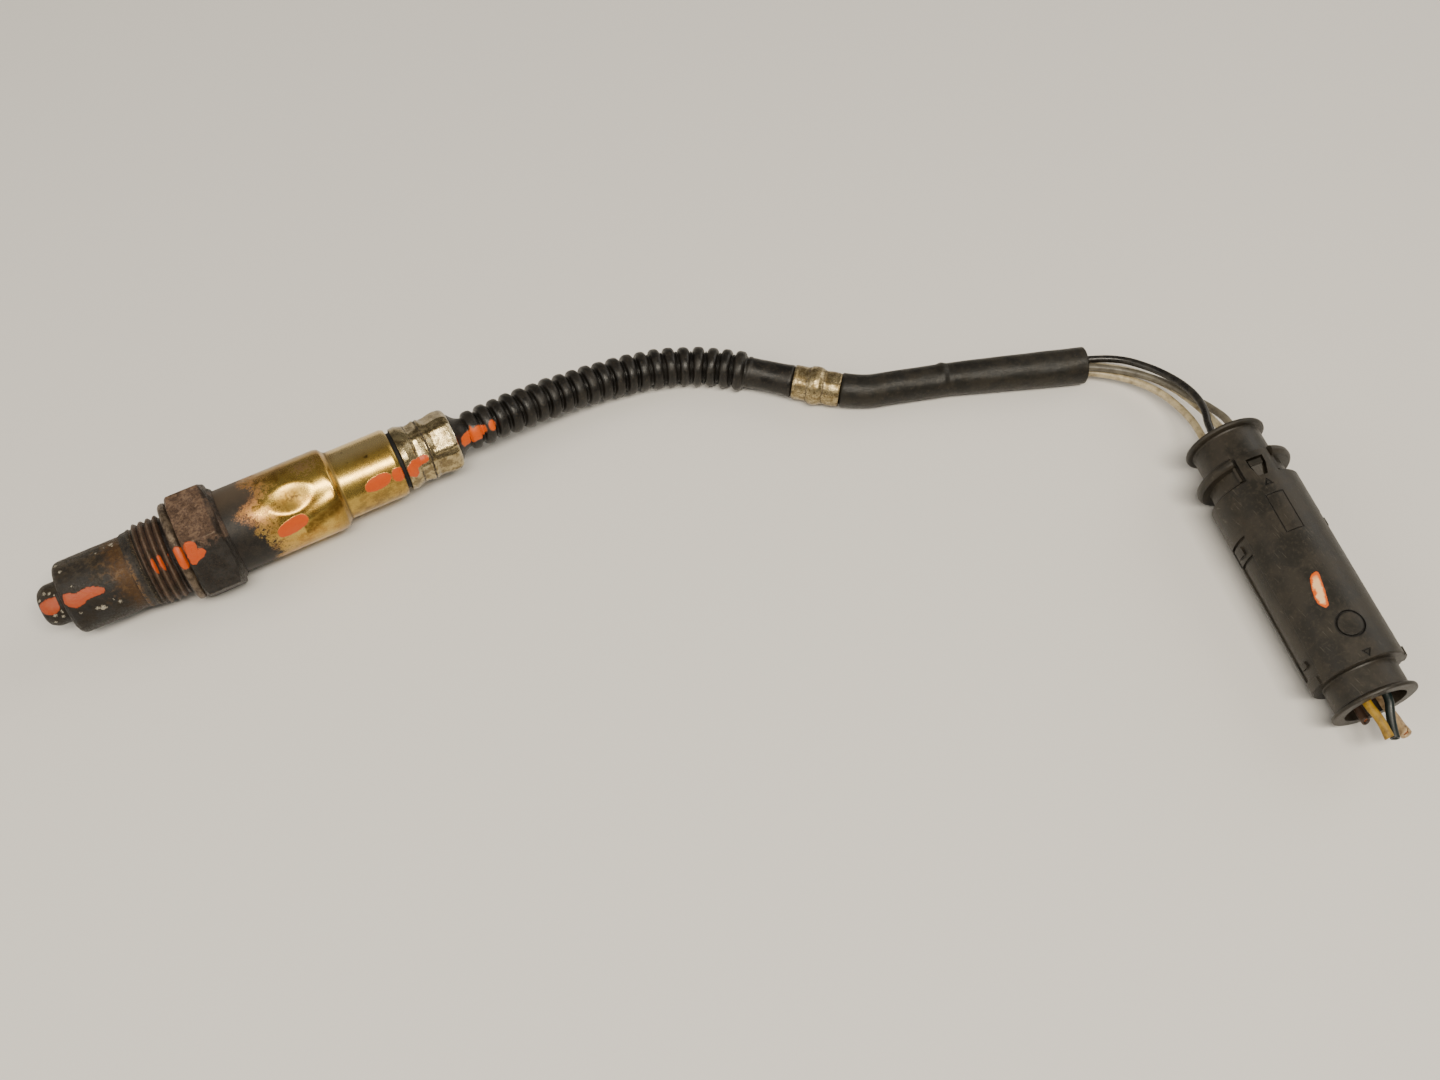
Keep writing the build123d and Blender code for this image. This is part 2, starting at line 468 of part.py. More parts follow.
stubs = {
    "harness_wire_yellow": (-1, 1, 42.0, [(68.4, -1.9, 12.0), (72.3, -1.95, 11.3)]),
    "harness_wire_teal": (1, 1, 42.0, [(68.2, 0.6, 11.0), (72.5, -0.35, 10.2)]),
    "harness_wire_cream": (1, -1, 42.0, [(68.2, 3.5, 7.8), (72.0, 3.2, 8.4)]),
    "harness_wire_brown": (-1, -1, 40.8, [(66.9, -2.4, 7.6)]),
}
for n_, (hy, hz, w0, mid) in stubs.items():
    pts = [cpt(w0, con_pitch * hy, con_pitch * hz), cpt(64.6, con_pitch * hy, con_pitch * hz)]
    pts += [cw(*m) for m in mid]
    path = rounded(pts, n_)
    w = tube(path, hw_d / 2)
    print(n_, "length", round(path.length, 1))
    print("   ", [tuple(round(c_, 2) for c_ in p) for p in pts])
    parts[n_] = w

for name, shape in parts.items():
    export_step(shape, "parts/" + name + ".step")
    print(name, round(shape.volume, 1), shape.is_valid)
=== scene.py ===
import math

import bpy
import numpy as np
from mathutils import Matrix, Vector, noise


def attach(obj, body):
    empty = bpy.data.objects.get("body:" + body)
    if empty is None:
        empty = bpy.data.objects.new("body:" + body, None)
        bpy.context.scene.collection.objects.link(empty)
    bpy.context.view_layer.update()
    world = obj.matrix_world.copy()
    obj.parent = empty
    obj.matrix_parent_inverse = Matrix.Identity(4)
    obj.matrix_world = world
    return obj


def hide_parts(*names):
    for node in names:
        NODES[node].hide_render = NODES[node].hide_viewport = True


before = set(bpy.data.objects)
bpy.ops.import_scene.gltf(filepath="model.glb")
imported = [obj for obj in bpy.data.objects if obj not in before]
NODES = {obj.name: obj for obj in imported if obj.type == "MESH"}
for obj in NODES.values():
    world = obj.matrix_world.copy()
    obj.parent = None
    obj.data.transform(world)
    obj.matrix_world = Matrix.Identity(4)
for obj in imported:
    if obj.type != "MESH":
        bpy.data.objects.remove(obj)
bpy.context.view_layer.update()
MM = 0.001
AZ = 11.0          # height of the sensor axis, mm

# ---------------------------------------------------------------------------
# camera
# ---------------------------------------------------------------------------
right = Vector((0.88408871, -0.46731911, 0.0))
up = Vector((0.40471022, 0.76564329, 0.5))
fwd = Vector((0.23365955, 0.44204436, -0.8660254))
cam_data = bpy.data.cameras.new("camera")
cam_data.lens = 37.5
cam_data.sensor_width = 36.0
cam_data.clip_start = 0.01
cam_data.clip_end = 20.0
cam = bpy.data.objects.new("camera", cam_data)
bpy.context.scene.collection.objects.link(cam)
cam.matrix_world = Matrix((
    (right.x, up.x, -fwd.x, 0.011295),
    (right.y, up.y, -fwd.y, -0.188223),
    (right.z, up.z, -fwd.z, 0.282094),
    (0, 0, 0, 1)))
bpy.context.scene.camera = cam


# ---------------------------------------------------------------------------
# small tools: materials
# ---------------------------------------------------------------------------
def srgb(r, g, b):
    f = lambda c: c / 12.92 if c <= 0.04045 else ((c + 0.055) / 1.055) ** 2.4
    return (f(r / 255.0), f(g / 255.0), f(b / 255.0), 1.0)


class Mat:
    """a node material; coordinates are the part's own, in millimetres"""

    def __init__(self, name):
        self.m = bpy.data.materials.new(name)
        self.m.use_nodes = True
        self.nt = self.m.node_tree
        self.nt.nodes.clear()
        self.b = self.new("ShaderNodeBsdfPrincipled")
        out = self.new("ShaderNodeOutputMaterial")
        self.nt.links.new(self.b.outputs[0], out.inputs[0])
        tc = self.new("ShaderNodeTexCoord")
        v = self.new("ShaderNodeVectorMath", operation="SCALE")
        self.nt.links.new(tc.outputs["Object"], v.inputs[0])
        v.inputs["Scale"].default_value = 1000.0
        self.mm = v.outputs[0]

    def new(self, kind, **props):
        n = self.nt.nodes.new(kind)
        for k, v in props.items():
            setattr(n, k, v)
        return n

    def put(self, sock, v):
        if isinstance(v, bpy.types.NodeSocket):
            self.nt.links.new(v, sock)
        else:
            sock.default_value = v

    def math(self, op, a, b=None, c=None, clamp=False):
        n = self.new("ShaderNodeMath", operation=op, use_clamp=clamp)
        for i, v in enumerate((a, b, c)):
            if v is not None:
                self.put(n.inputs[i], v)
        return n.outputs[0]

    def mul(self, a, b):
        return self.math("MULTIPLY", a, b)

    def add(self, a, b):
        return self.math("ADD", a, b)

    def inv(self, a):
        return self.math("SUBTRACT", 1.0, a)

    def mix(self, fac, a, b, mode="MIX"):
        n = self.new("ShaderNodeMix", data_type="RGBA", blend_type=mode, clamp_factor=True)
        self.put(n.inputs[0], fac)
        self.put(n.inputs[6], a)
        self.put(n.inputs[7], b)
        return n.outputs[2]

    def lerp(self, fac, a, b):
        n = self.new("ShaderNodeMix", data_type="FLOAT", clamp_factor=True)
        self.put(n.inputs[0], fac)
        self.put(n.inputs[2], a)
        self.put(n.inputs[3], b)
        return n.outputs[0]

    def noise(self, scale, detail=4.0, rough=0.55, dist=0.0, vec=None, off=None):
        n = self.new("ShaderNodeTexNoise")
        src = vec if vec is not None else self.mm
        if off is not None:
            a = self.new("ShaderNodeVectorMath", operation="ADD")
            self.nt.links.new(src, a.inputs[0])
            a.inputs[1].default_value = off
            src = a.outputs[0]
        self.nt.links.new(src, n.inputs["Vector"])
        n.inputs["Scale"].default_value = scale
        n.inputs["Detail"].default_value = detail
        n.inputs["Roughness"].default_value = rough
        n.inputs["Distortion"].default_value = dist
        return n.outputs["Fac"]

    def voronoi(self, scale, feature="F1", rand=1.0, vec=None):
        n = self.new("ShaderNodeTexVoronoi", feature=feature)
        self.nt.links.new(vec if vec is not None else self.mm, n.inputs["Vector"])
        n.inputs["Scale"].default_value = scale
        n.inputs["Randomness"].default_value = rand
        return n.outputs["Distance"]

    def stretch(self, sx, sy, sz):
        n = self.new("ShaderNodeVectorMath", operation="MULTIPLY")
        self.nt.links.new(self.mm, n.inputs[0])
        n.inputs[1].default_value = (sx, sy, sz)
        return n.outputs[0]

    def xyz(self):
        n = self.new("ShaderNodeSeparateXYZ")
        self.nt.links.new(self.mm, n.inputs[0])
        return n.outputs[0], n.outputs[1], n.outputs[2]

    def angle(self):
        """degrees round the sensor axis from the top towards the near side"""
        x, y, z = self.xyz()
        a = self.math("ARCTAN2", self.math("MULTIPLY", y, -1.0), self.math("SUBTRACT", z, AZ))
        return self.math("MULTIPLY", a, 57.29578)

    def step(self, v, lo, hi, a=0.0, b=1.0):
        n = self.new("ShaderNodeMapRange", interpolation_type="SMOOTHSTEP")
        self.put(n.inputs[0], v)
        n.inputs[1].default_value = lo
        n.inputs[2].default_value = hi
        n.inputs[3].default_value = a
        n.inputs[4].default_value = b
        return n.outputs[0]

    def ramp(self, fac, stops):
        n = self.new("ShaderNodeValToRGB")
        e = n.color_ramp.elements
        while len(e) < len(stops):
            e.new(0.5)
        for i, (p, c) in enumerate(stops):
            e[i].position = p
            e[i].color = c
        self.put(n.inputs[0], fac)
        return n.outputs[0]

    def attr(self, name):
        return self.new("ShaderNodeAttribute", attribute_name=name).outputs["Fac"]

    def bevel(self, r_mm, samples=4):
        n = self.new("ShaderNodeBevel", samples=samples)
        n.inputs["Radius"].default_value = r_mm * MM
        return n.outputs[0]

    def bump(self, h, dist_mm, strength=1.0, normal=None):
        n = self.new("ShaderNodeBump")
        n.inputs["Strength"].default_value = strength
        n.inputs["Distance"].default_value = dist_mm * MM
        self.put(n.inputs["Height"], h)
        if normal is not None:
            self.put(n.inputs["Normal"], normal)
        return n.outputs[0]

    def set(self, **kw):
        names = {"color": "Base Color", "rough": "Roughness", "metal": "Metallic", "normal": "Normal",
                 "spec": "Specular IOR Level", "coat": "Coat Weight", "coat_rough": "Coat Roughness",
                 "sss": "Subsurface Weight", "sheen": "Sheen Weight"}
        for k, v in kw.items():
            self.put(self.b.inputs[names[k]], v)
        return self.m


# ---------------------------------------------------------------------------
# small tools: meshes.  All shapes are worked out in millimetres.
# ---------------------------------------------------------------------------
def grid_faces(counts, closed):
    """faces that join neighbouring rows of a grid; a row of one point is a pole"""
    start = np.concatenate([[0], np.cumsum(counts)])[:-1]
    faces = []
    n_rows = len(counts)
    for i in range(n_rows if closed else n_rows - 1):
        a, b = i, (i + 1) % n_rows
        na, nb = counts[a], counts[b]
        sa, sb = int(start[a]), int(start[b])
        if na == 1 and nb == 1:
            continue
        n = max(na, nb)
        for j in range(n):
            k = (j + 1) % n
            if na == 1:
                faces.append((sa, sb + j, sb + k))
            elif nb == 1:
                faces.append((sa + j, sb, sa + k))
            else:
                faces.append((sa + j, sb + j, sb + k, sa + k))
    return faces


def make(name, verts, faces, mats, nodes=(), attrs=None, ride=True):
    v = np.asarray(verts, float) * MM
    me = bpy.data.meshes.new(name)
    me.from_pydata(v.tolist(), [], faces)
    # outward faces: the signed volume decides
    me.calc_loop_triangles()
    t = np.zeros(len(me.loop_triangles) * 3, np.int32)
    me.loop_triangles.foreach_get("vertices", t)
    t = t.reshape(-1, 3)
    vol = np.einsum("ij,ij->i", v[t[:, 0]], np.cross(v[t[:, 1]], v[t[:, 2]])).sum()
    if vol < 0:
        me.flip_normals()
    me.polygons.foreach_set("use_smooth", [True] * len(me.polygons))
    for k, vals in (attrs or {}).items():
        a = me.attributes.new(k, "FLOAT", "POINT")
        a.data.foreach_set("value", np.asarray(vals, np.float32))
    for m in mats:
        me.materials.append(m)
    me.update()
    ob = bpy.data.objects.new(name, me)
    bpy.context.scene.collection.objects.link(ob)
    if ride:
        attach(ob, "root")
        if nodes:
            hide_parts(*nodes)
    return ob


def profile(pts, step=0.5, closed=True, seg=4):
    """(x, r, fillet, tag) corners -> rows (x, r, tag) with the corners rounded and the runs cut to step"""
    n = len(pts)
    out = []
    for i in range(n):
        x, r, f, tag = (list(pts[i]) + [0.0, 0])[:4] if len(pts[i]) < 4 else pts[i]
        p = np.array([x, r], float)
        if f > 0 and (closed or 0 < i < n - 1):
            a = np.array(pts[i - 1][:2], float) - p
            b = np.array(pts[(i + 1) % n][:2], float) - p
            la, lb = np.linalg.norm(a), np.linalg.norm(b)
            ua, ub = a / la, b / lb
            turn = math.pi - math.acos(max(-1, min(1, float(ua @ ub))))
            if turn > 1e-3:
                t = min(f * math.tan(turn / 2), 0.48 * la, 0.48 * lb)
                p0, p1 = p + ua * t, p + ub * t
                for k in range(seg + 1):
                    s = k / seg
                    q = (1 - s) ** 2 * p0 + 2 * s * (1 - s) * p + s * s * p1
                    out.append((q[0], q[1], tag))
                continue
        out.append((x, r, tag))
    rows = []
    m = len(out)
    for i in range(m):
        rows.append(out[i])
        if i == m - 1 and not closed:
            break
        a, b = out[i], out[(i + 1) % m]
        d = math.hypot(b[0] - a[0], b[1] - a[1])
        st = step if (a[2] == 0 or b[2] == 0) else 2.0
        k = int(math.ceil(d / st))
        for j in range(1, k):
            s = j / k
            rows.append((a[0] + (b[0] - a[0]) * s, a[1] + (b[1] - a[1]) * s, a[2] if a[2] == b[2] else max(a[2], b[2])))
    return rows


def lathe(name, rows, th, mats, nodes=(), disp=None, closed=True, attrs=None, frame_of=None):
    """rows of (x, r, tag) turned round the sensor axis.  disp(x, r, tag, th) gives new x and r;
    attrs maps a name to a function of (x, th in degrees, r, tag).  Tag 0 is the outside."""
    verts, counts, X, T, R, G = [], [], [], [], [], []
    for x, r, tag in rows:
        if r < 1e-6:
            x2, r2, t2 = np.array([x]), np.array([0.0]), np.array([0.0])
            if disp:
                x2, r2 = disp(x2, r2, tag, t2)
                r2 = np.array([0.0])
        else:
            t2 = th
            x2, r2 = np.full(len(th), float(x)), np.full(len(th), float(r))
            if disp:
                x2, r2 = disp(x2, r2, tag, th)
        if frame_of is None:
            p = np.stack([x2, -r2 * np.sin(t2), AZ + r2 * np.cos(t2)], -1)
        else:
            o, ax, nn, bb = frame_of
            p = o + x2[:, None] * ax + (r2 * np.cos(t2))[:, None] * nn + (r2 * np.sin(t2))[:, None] * bb
        verts.append(p)
        counts.append(len(p))
        X.append(np.full(len(p), float(x)))
        T.append(t2 if len(t2) == len(p) else np.zeros(len(p)))
        R.append(r2)
        G.append(np.full(len(p), tag))
    X, T, R, G = map(np.concatenate, (X, T, R, G))
    D = (np.degrees(T) + 180) % 360 - 180
    values = {k: f(X, D, R, G) for k, f in (attrs or {}).items()}
    return make(name, np.concatenate(verts), grid_faces(counts, closed), mats, nodes, values)


def nz(x, y, z, s=1.0, seed=0.0):
    """smooth noise in about -1..1 at millimetre points"""
    x, y, z = np.broadcast_arrays(np.asarray(x, float), np.asarray(y, float), np.asarray(z, float))
    out = np.empty(x.shape)
    fx, fy, fz, fo = x.ravel(), y.ravel(), z.ravel(), out.ravel()
    for i in range(len(fo)):
        fo[i] = noise.noise(Vector((fx[i] * s + seed, fy[i] * s - seed, fz[i] * s + 0.37 * seed)))
    return fo.reshape(x.shape)


def ss(v, lo, hi):
    t = np.clip((np.asarray(v, float) - lo) / (hi - lo), 0, 1)
    return t * t * (3 - 2 * t)


def sdf(px, py, poly):
    """signed distance to a polygon, positive inside"""
    px, py = np.asarray(px, float), np.asarray(py, float)
    d = np.full(px.shape, 1e9)
    inside = np.zeros(px.shape, bool)
    n = len(poly)
    for i in range(n):
        (x0, y0), (x1, y1) = poly[i], poly[(i + 1) % n]
        ex, ey = x1 - x0, y1 - y0
        t = np.clip(((px - x0) * ex + (py - y0) * ey) / max(ex * ex + ey * ey, 1e-12), 0, 1)
        d = np.minimum(d, np.hypot(px - x0 - t * ex, py - y0 - t * ey))
        cross = ((y0 > py) != (y1 > py)) & (px < ex * (py - y0) / (ey if abs(ey) > 1e-12 else 1e-12) + x0)
        inside ^= cross
    return np.where(inside, d, -d)


def oval(x0, x1, a0, a1, n=28, wob=0.06, seed=1.0, slant=0.0):
    """an oval dab as (x, angle) points"""
    out = []
    cx, ca, rx, ra = (x0 + x1) / 2, (a0 + a1) / 2, (x1 - x0) / 2, (a1 - a0) / 2
    for i in range(n):
        a = 2 * math.pi * i / n
        k = 1 + wob * noise.noise(Vector((math.cos(a) * 1.3 + seed, math.sin(a) * 1.3, seed)))
        e = 0.85
        c, s_ = math.cos(a), math.sin(a)
        ux = math.copysign(abs(c) ** e, c) * rx * k
        ua = math.copysign(abs(s_) ** e, s_) * ra * k
        out.append((cx + ux, ca + ua + slant * ux))
    return out


def dab(polys, r):
    """attribute: signed distance in mm to painted dabs given as (x, degrees) outlines"""
    def f(X, D, R, G):
        v = np.radians(D) * r
        best = np.full(X.shape, -9.0)
        for poly in polys:
            best = np.maximum(best, sdf(X, v, [(a, math.radians(b) * r) for a, b in poly]))
        return np.where(G == 0, best, -9.0)
    return f


def spots(items, r):
    """attribute: 1 at the middle of each (x, degrees, radius in mm) fleck"""
    def f(X, D, R, G):
        v = np.radians(D) * r
        best = np.zeros(X.shape)
        for x, a, q in items:
            d = np.hypot(X - x, v - math.radians(a) * r) / q
            best = np.maximum(best, np.clip(1.5 - d, 0, 1))
        return np.where(G == 0, best, 0.0)
    return f


def nurbs(name, pts):
    cu = bpy.data.curves.new(name, "CURVE")
    cu.dimensions = "3D"
    cu.resolution_u = 24
    sp = cu.splines.new("NURBS")
    sp.points.add(len(pts) - 1)
    for q, p in zip(sp.points, pts):
        q.co = (p[0] * MM, p[1] * MM, p[2] * MM, 1.0)
    sp.order_u = 3
    sp.use_endpoint_u = True
    sp.resolution_u = 24
    return cu


def line_of(cu):
    """the points that the curve follows, in millimetres"""
    ob = bpy.data.objects.new("line_only", cu)
    me = bpy.data.meshes.new_from_object(ob)
    p = np.array([v.co for v in me.vertices], float) / MM
    bpy.data.meshes.remove(me)
    bpy.data.objects.remove(ob)
    return p


class Path:
    """a smooth line with a frame at each distance along it: tangent, up-most normal, and the side"""

    def __init__(self, pts):
        keep = [0] + [i for i in range(1, len(pts)) if np.linalg.norm(pts[i] - pts[i - 1]) > 1e-6]
        self.p = pts[keep]
        self.s = np.concatenate([[0], np.cumsum(np.linalg.norm(np.diff(self.p, axis=0), axis=1))])
        self.len = float(self.s[-1])
        t = np.gradient(self.p, self.s, axis=0)
        self.t = t / np.linalg.norm(t, axis=1)[:, None]

    def at(self, s):
        s = np.atleast_1d(np.asarray(s, float))
        c = np.stack([np.interp(s, self.s, self.p[:, k]) for k in range(3)], -1)
        t = np.stack([np.interp(s, self.s, self.t[:, k]) for k in range(3)], -1)
        over = np.clip(s - self.len, 0, None) + np.clip(s, None, 0)
        t = t / np.linalg.norm(t, axis=1)[:, None]
        c = c + over[:, None] * t
        z = np.array([0.0, 0.0, 1.0])
        nn = z - (t @ z)[:, None] * t
        nn = nn / np.linalg.norm(nn, axis=1)[:, None]
        bb = np.cross(t, nn)
        return c, t, nn, bb


def sweep(name, path, rows, nth, mats, nodes=(), rad=None, closed=True, attrs=None):
    """rows of (s, r, tag) carried along a path; rad(s, r, tag, th) gives new s and r"""
    th = np.linspace(0, 2 * math.pi, nth, endpoint=False)
    verts, counts, S, T, R, G = [], [], [], [], [], []
    for s, r, tag in rows:
        if r < 1e-6:
            c, t, nn, bb = path.at([s])
            verts.append(c)
            counts.append(1)
            S.append([s]); T.append([0.0]); R.append([0.0]); G.append([tag])
            continue
        s2, r2 = np.full(nth, float(s)), np.full(nth, float(r))
        if rad:
            s2, r2 = rad(s2, r2, tag, th)
        c, t, nn, bb = path.at(s2)
        verts.append(c + (r2 * np.cos(th))[:, None] * nn + (r2 * np.sin(th))[:, None] * bb)
        counts.append(nth)
        S.append(np.full(nth, float(s))); T.append(th); R.append(r2); G.append(np.full(nth, tag))
    S, T, R, G = map(lambda q: np.concatenate([np.asarray(v, float) for v in q]), (S, T, R, G))
    D = (np.degrees(T) + 180) % 360 - 180
    values = {k: f(S, D, R, G) for k, f in (attrs or {}).items()}
    values["along"] = S
    return make(name, np.concatenate(verts), grid_faces(counts, closed), mats, nodes, values)


# ---------------------------------------------------------------------------
# routes of the lead, in millimetres
# ---------------------------------------------------------------------------
route = [(53.0, 0.2, 10.75), (62.0, 1.0, 9.6), (71.5, 1.5, 8.2), (81.0, 1.4, 6.85), (90.0, 0.6, 5.75),
         (98.0, -1.3, 5.0), (105.3, -4.8, 4.65), (112.2, -10.0, 4.5), (120.5, -17.5, 4.45),
         (131.6, -27.0, 4.4), (140.6, -29.6, 4.3), (152.0, -33.2, 4.25), (166.3, -38.6, 4.25),
         (181.4, -44.4, 4.3)]
p_f, p_k = np.array(route[8]), np.array(route[9])
u_f = (p_k - p_f) / np.linalg.norm(p_k - p_f)
FER_L = 10.8

wire_pts = {
    "black": [(27.0, 1.9, 12.9), (44.6, 1.9, 12.9), (52.96, 1.15, 11.7), (61.93, 1.95, 10.55), (71.48, 2.45, 9.15),
              (81.05, 2.35, 7.8), (90.15, 1.54, 6.7), (98.32, -0.4, 5.95), (105.8, -3.98, 5.6), (112.81, -9.27, 5.45),
              (121.13, -16.79, 5.4), (132.06, -26.14, 5.35), (140.87, -28.69, 5.25), (152.31, -32.3, 5.2),
              (166.64, -37.71, 5.2), (181.74, -43.51, 5.25), (188.9, -47.5, 5.9), (192.5, -53.4, 7.4),
              (194.2, -59.4, 9.3), (194.4, -65.3, 11.3), (193.2, -70.9, 12.7), (190.34, -76.04, 12.79),
              (188.1, -88.74, 12.59)],
    "grey": [(27.0, -1.9, 12.9), (44.6, -1.9, 12.9), (53.04, -0.75, 11.7), (62.07, 0.05, 10.55), (71.52, 0.55, 9.15),
             (80.95, 0.45, 7.8), (89.85, -0.34, 6.7), (97.68, -2.2, 5.95), (104.8, -5.62, 5.6), (111.59, -10.73, 5.45),
             (119.87, -18.21, 5.4), (131.14, -27.86, 5.35), (140.33, -30.51, 5.25), (151.69, -34.1, 5.2),
             (165.96, -39.49, 5.2), (181.06, -45.29, 5.25), (188.2, -50.3, 5.15), (192.3, -55.0, 5.6),
             (194.9, -60.1, 6.4), (195.8, -65.4, 7.9), (196.1, -71.0, 10.6), (195.41, -76.95, 13.51),
             (193.17, -89.65, 13.32)],
    "white_a": [(27.0, -1.9, 9.1), (44.6, -1.9, 9.1), (53.04, -0.75, 9.8), (62.07, 0.05, 8.65), (71.52, 0.55, 7.25),
                (80.95, 0.45, 5.9), (89.85, -0.34, 4.8), (97.68, -2.2, 4.05), (104.8, -5.62, 3.7), (111.59, -10.73, 3.55),
                (119.87, -18.21, 3.5), (131.14, -27.86, 3.45), (140.33, -30.51, 3.35), (151.69, -34.1, 3.3),
                (165.96, -39.49, 3.3), (181.06, -45.29, 3.35), (188.0, -50.9, 3.4), (191.2, -55.5, 3.8),
                (192.9, -60.0, 4.4), (193.4, -65.2, 5.3), (192.8, -70.5, 6.6), (191.07, -76.09, 7.64),
                (188.83, -88.79, 7.45)],
    "white_b": [(27.0, 1.9, 9.1), (44.6, 1.9, 9.1), (52.96, 1.15, 9.8), (61.93, 1.95, 8.65), (71.48, 2.45, 7.25),
                (81.05, 2.35, 5.9), (90.15, 1.54, 4.8), (98.32, -0.4, 4.05), (105.8, -3.98, 3.7), (112.81, -9.27, 3.55),
                (121.13, -16.79, 3.5), (132.06, -26.14, 3.45), (140.87, -28.69, 3.35), (152.31, -32.3, 3.3),
                (166.64, -37.71, 3.3), (181.74, -43.51, 3.35), (189.4, -48.9, 3.3), (193.5, -53.8, 3.5),
                (195.9, -58.9, 4.2), (196.6, -64.3, 5.4), (196.5, -70.3, 7.1), (196.13, -76.99, 8.37),
                (193.89, -89.7, 8.17)],
}
stub_pts = {
    "yellow": [(182.63, -119.76, 12.11), (178.71, -142.01, 11.77), (179.07, -145.91, 12.0), (178.34, -149.74, 11.3)],
    "teal": [(187.7, -120.67, 12.84), (183.78, -142.92, 12.49), (181.57, -146.15, 11.0), (179.89, -150.22, 10.2)],
    "cream": [(188.43, -120.71, 7.69), (184.5, -142.97, 7.34), (184.42, -146.65, 7.8), (183.47, -150.34, 8.4)],
    "brown": [(183.56, -118.63, 6.98), (179.43, -142.06, 6.62), (178.84, -144.35, 7.6)],
}

# ---------------------------------------------------------------------------
# materials of the lead
# ---------------------------------------------------------------------------
ORANGE = srgb(198, 74, 0)


def paint_over(m, mask, col, rough, metal=None, tone=ORANGE, pale=srgb(208, 94, 14), wear=0.35):
    """orange marker paint over a finish: colour, roughness and metal are mixed by the mask"""
    n1 = m.noise(1.3, 5, 0.6, off=(7.3, 1.1, 3.9))
    body = m.mix(m.step(n1, 0.35, 0.72, 0.0, wear), tone, pale)
    body = m.mix(m.step(m.noise(6.0, 3, 0.6), 0.46, 0.62, 0.0, 0.3), body, srgb(166, 60, 0))
    c = m.mix(mask, col, body)
    r = m.lerp(mask, rough, 0.42)
    if metal is None:
        return c, r
    return c, r, m.lerp(mask, metal, 0.0)


def dab_mask(m, edge=0.14, jag=0.5):
    d = m.attr("dab")
    n1 = m.noise(1.6, 4, 0.6, off=(3.1, 8.7, 0.4))
    return m.step(m.add(d, m.mul(m.math("SUBTRACT", n1, 0.5), jag)), -edge, edge)


def rubber_boot():
    m = Mat("boot_rubber")
    dust = m.noise(0.35, 5, 0.6)
    fine = m.noise(5.0, 4, 0.6)
    col = m.mix(m.step(dust, 0.42, 0.62, 0.0, 0.8), srgb(16, 14, 11), srgb(30, 26, 20))
    # painted shade: the valleys of the corrugation are darkened by their depth (the low attribute)
    low = m.attr("low")
    col = m.mix(m.mul(low, 0.75), col, srgb(10, 9, 7))
    scuff = m.mul(m.step(m.noise(2.4, 5, 0.7, off=(3, 3, 9)), 0.54, 0.64), m.inv(low))
    col = m.mix(m.mul(scuff, 0.35), col, srgb(82, 72, 58))
    rough = m.lerp(m.step(m.add(m.mul(dust, 0.6), m.mul(fine, 0.4)), 0.40, 0.60), 0.30, 0.50)
    mask = dab_mask(m, 0.07, 0.4)
    halo = m.mul(m.step(m.attr("dab"), -0.28, 0.0, 0.0, 0.35), m.inv(mask))
    col = m.mix(halo, col, srgb(170, 110, 84))
    col, rough = paint_over(m, mask, col, rough, tone=srgb(210, 84, 0))
    b = m.bump(m.add(fine, m.mul(m.noise(14, 3, 0.6), 0.6)), 0.05, 0.55)
    b = m.bump(mask, 0.09, 0.8, normal=b)
    return m.set(color=col, rough=rough, normal=b, spec=0.38)


def sleeve_rubber():
    m = Mat("sleeve_rubber")
    grime = m.noise(0.28, 6, 0.62)
    fine = m.noise(3.6, 5, 0.65)
    col = m.mix(m.step(grime, 0.42, 0.62), srgb(20, 18, 13), srgb(36, 32, 24))
    col = m.mix(m.step(m.noise(1.1, 6, 0.74, off=(4, 2, 9)), 0.52, 0.66, 0.0, 0.4), col, srgb(62, 55, 43))
    rough = m.lerp(m.step(fine, 0.40, 0.62), 0.38, 0.56)
    b = m.bump(m.add(fine, m.mul(m.noise(10, 3, 0.6), 0.6)), 0.06, 0.6)
    b = m.bump(m.noise(0.5, 3, 0.5, off=(1, 2, 3)), 0.35, 0.5, normal=b)
    return m.set(color=col, rough=rough, normal=b, spec=0.34)


def wire_mat(name, base, dirt, amount, rough=0.33, scale=0.5):
    m = Mat(name)
    g = m.noise(scale, 6, 0.65)
    f = m.noise(2.6, 5, 0.65, off=(5, 1, 2))
    col = m.mix(m.step(g, 0.38, 0.74, 0.0, amount), base, dirt)
    col = m.mix(m.step(f, 0.56, 0.74, 0.0, amount * 0.8), col, dirt)
    r = m.lerp(m.step(g, 0.35, 0.75), rough, min(1.0, rough + 0.24))
    b = m.bump(m.add(f, m.mul(m.noise(9, 3, 0.6), 0.5)), 0.04, 0.45)
    return m.set(color=col, rough=r, normal=b)


def ferrule_mat():
    m = Mat("ferrule_steel")
    g = m.noise(0.9, 6, 0.62)
    f = m.noise(3.4, 5, 0.65, off=(2, 6, 1))
    col = m.mix(m.step(g, 0.42, 0.60), srgb(182, 164, 124), srgb(128, 111, 76))
    col = m.mix(m.step(f, 0.50, 0.64, 0.0, 0.8), col, srgb(92, 76, 50))
    gr = m.step(m.add(m.attr("grime"), m.mul(m.math("SUBTRACT", m.noise(1.9, 6, 0.74, off=(9, 3, 5)), 0.5), 3.0)), 0.42, 0.9)
    col = m.mix(m.mul(gr, 0.85), col, srgb(58, 48, 36))
    rough = m.lerp(gr, m.lerp(m.step(g, 0.3, 0.7), 0.24, 0.42), 0.66)
    metal = m.lerp(gr, 0.95, 0.35)
    b = m.bump(m.add(f, m.mul(m.noise(8, 3, 0.6), 0.5)), 0.08, 0.6)
    return m.set(color=col, rough=rough, metal=metal, normal=b)


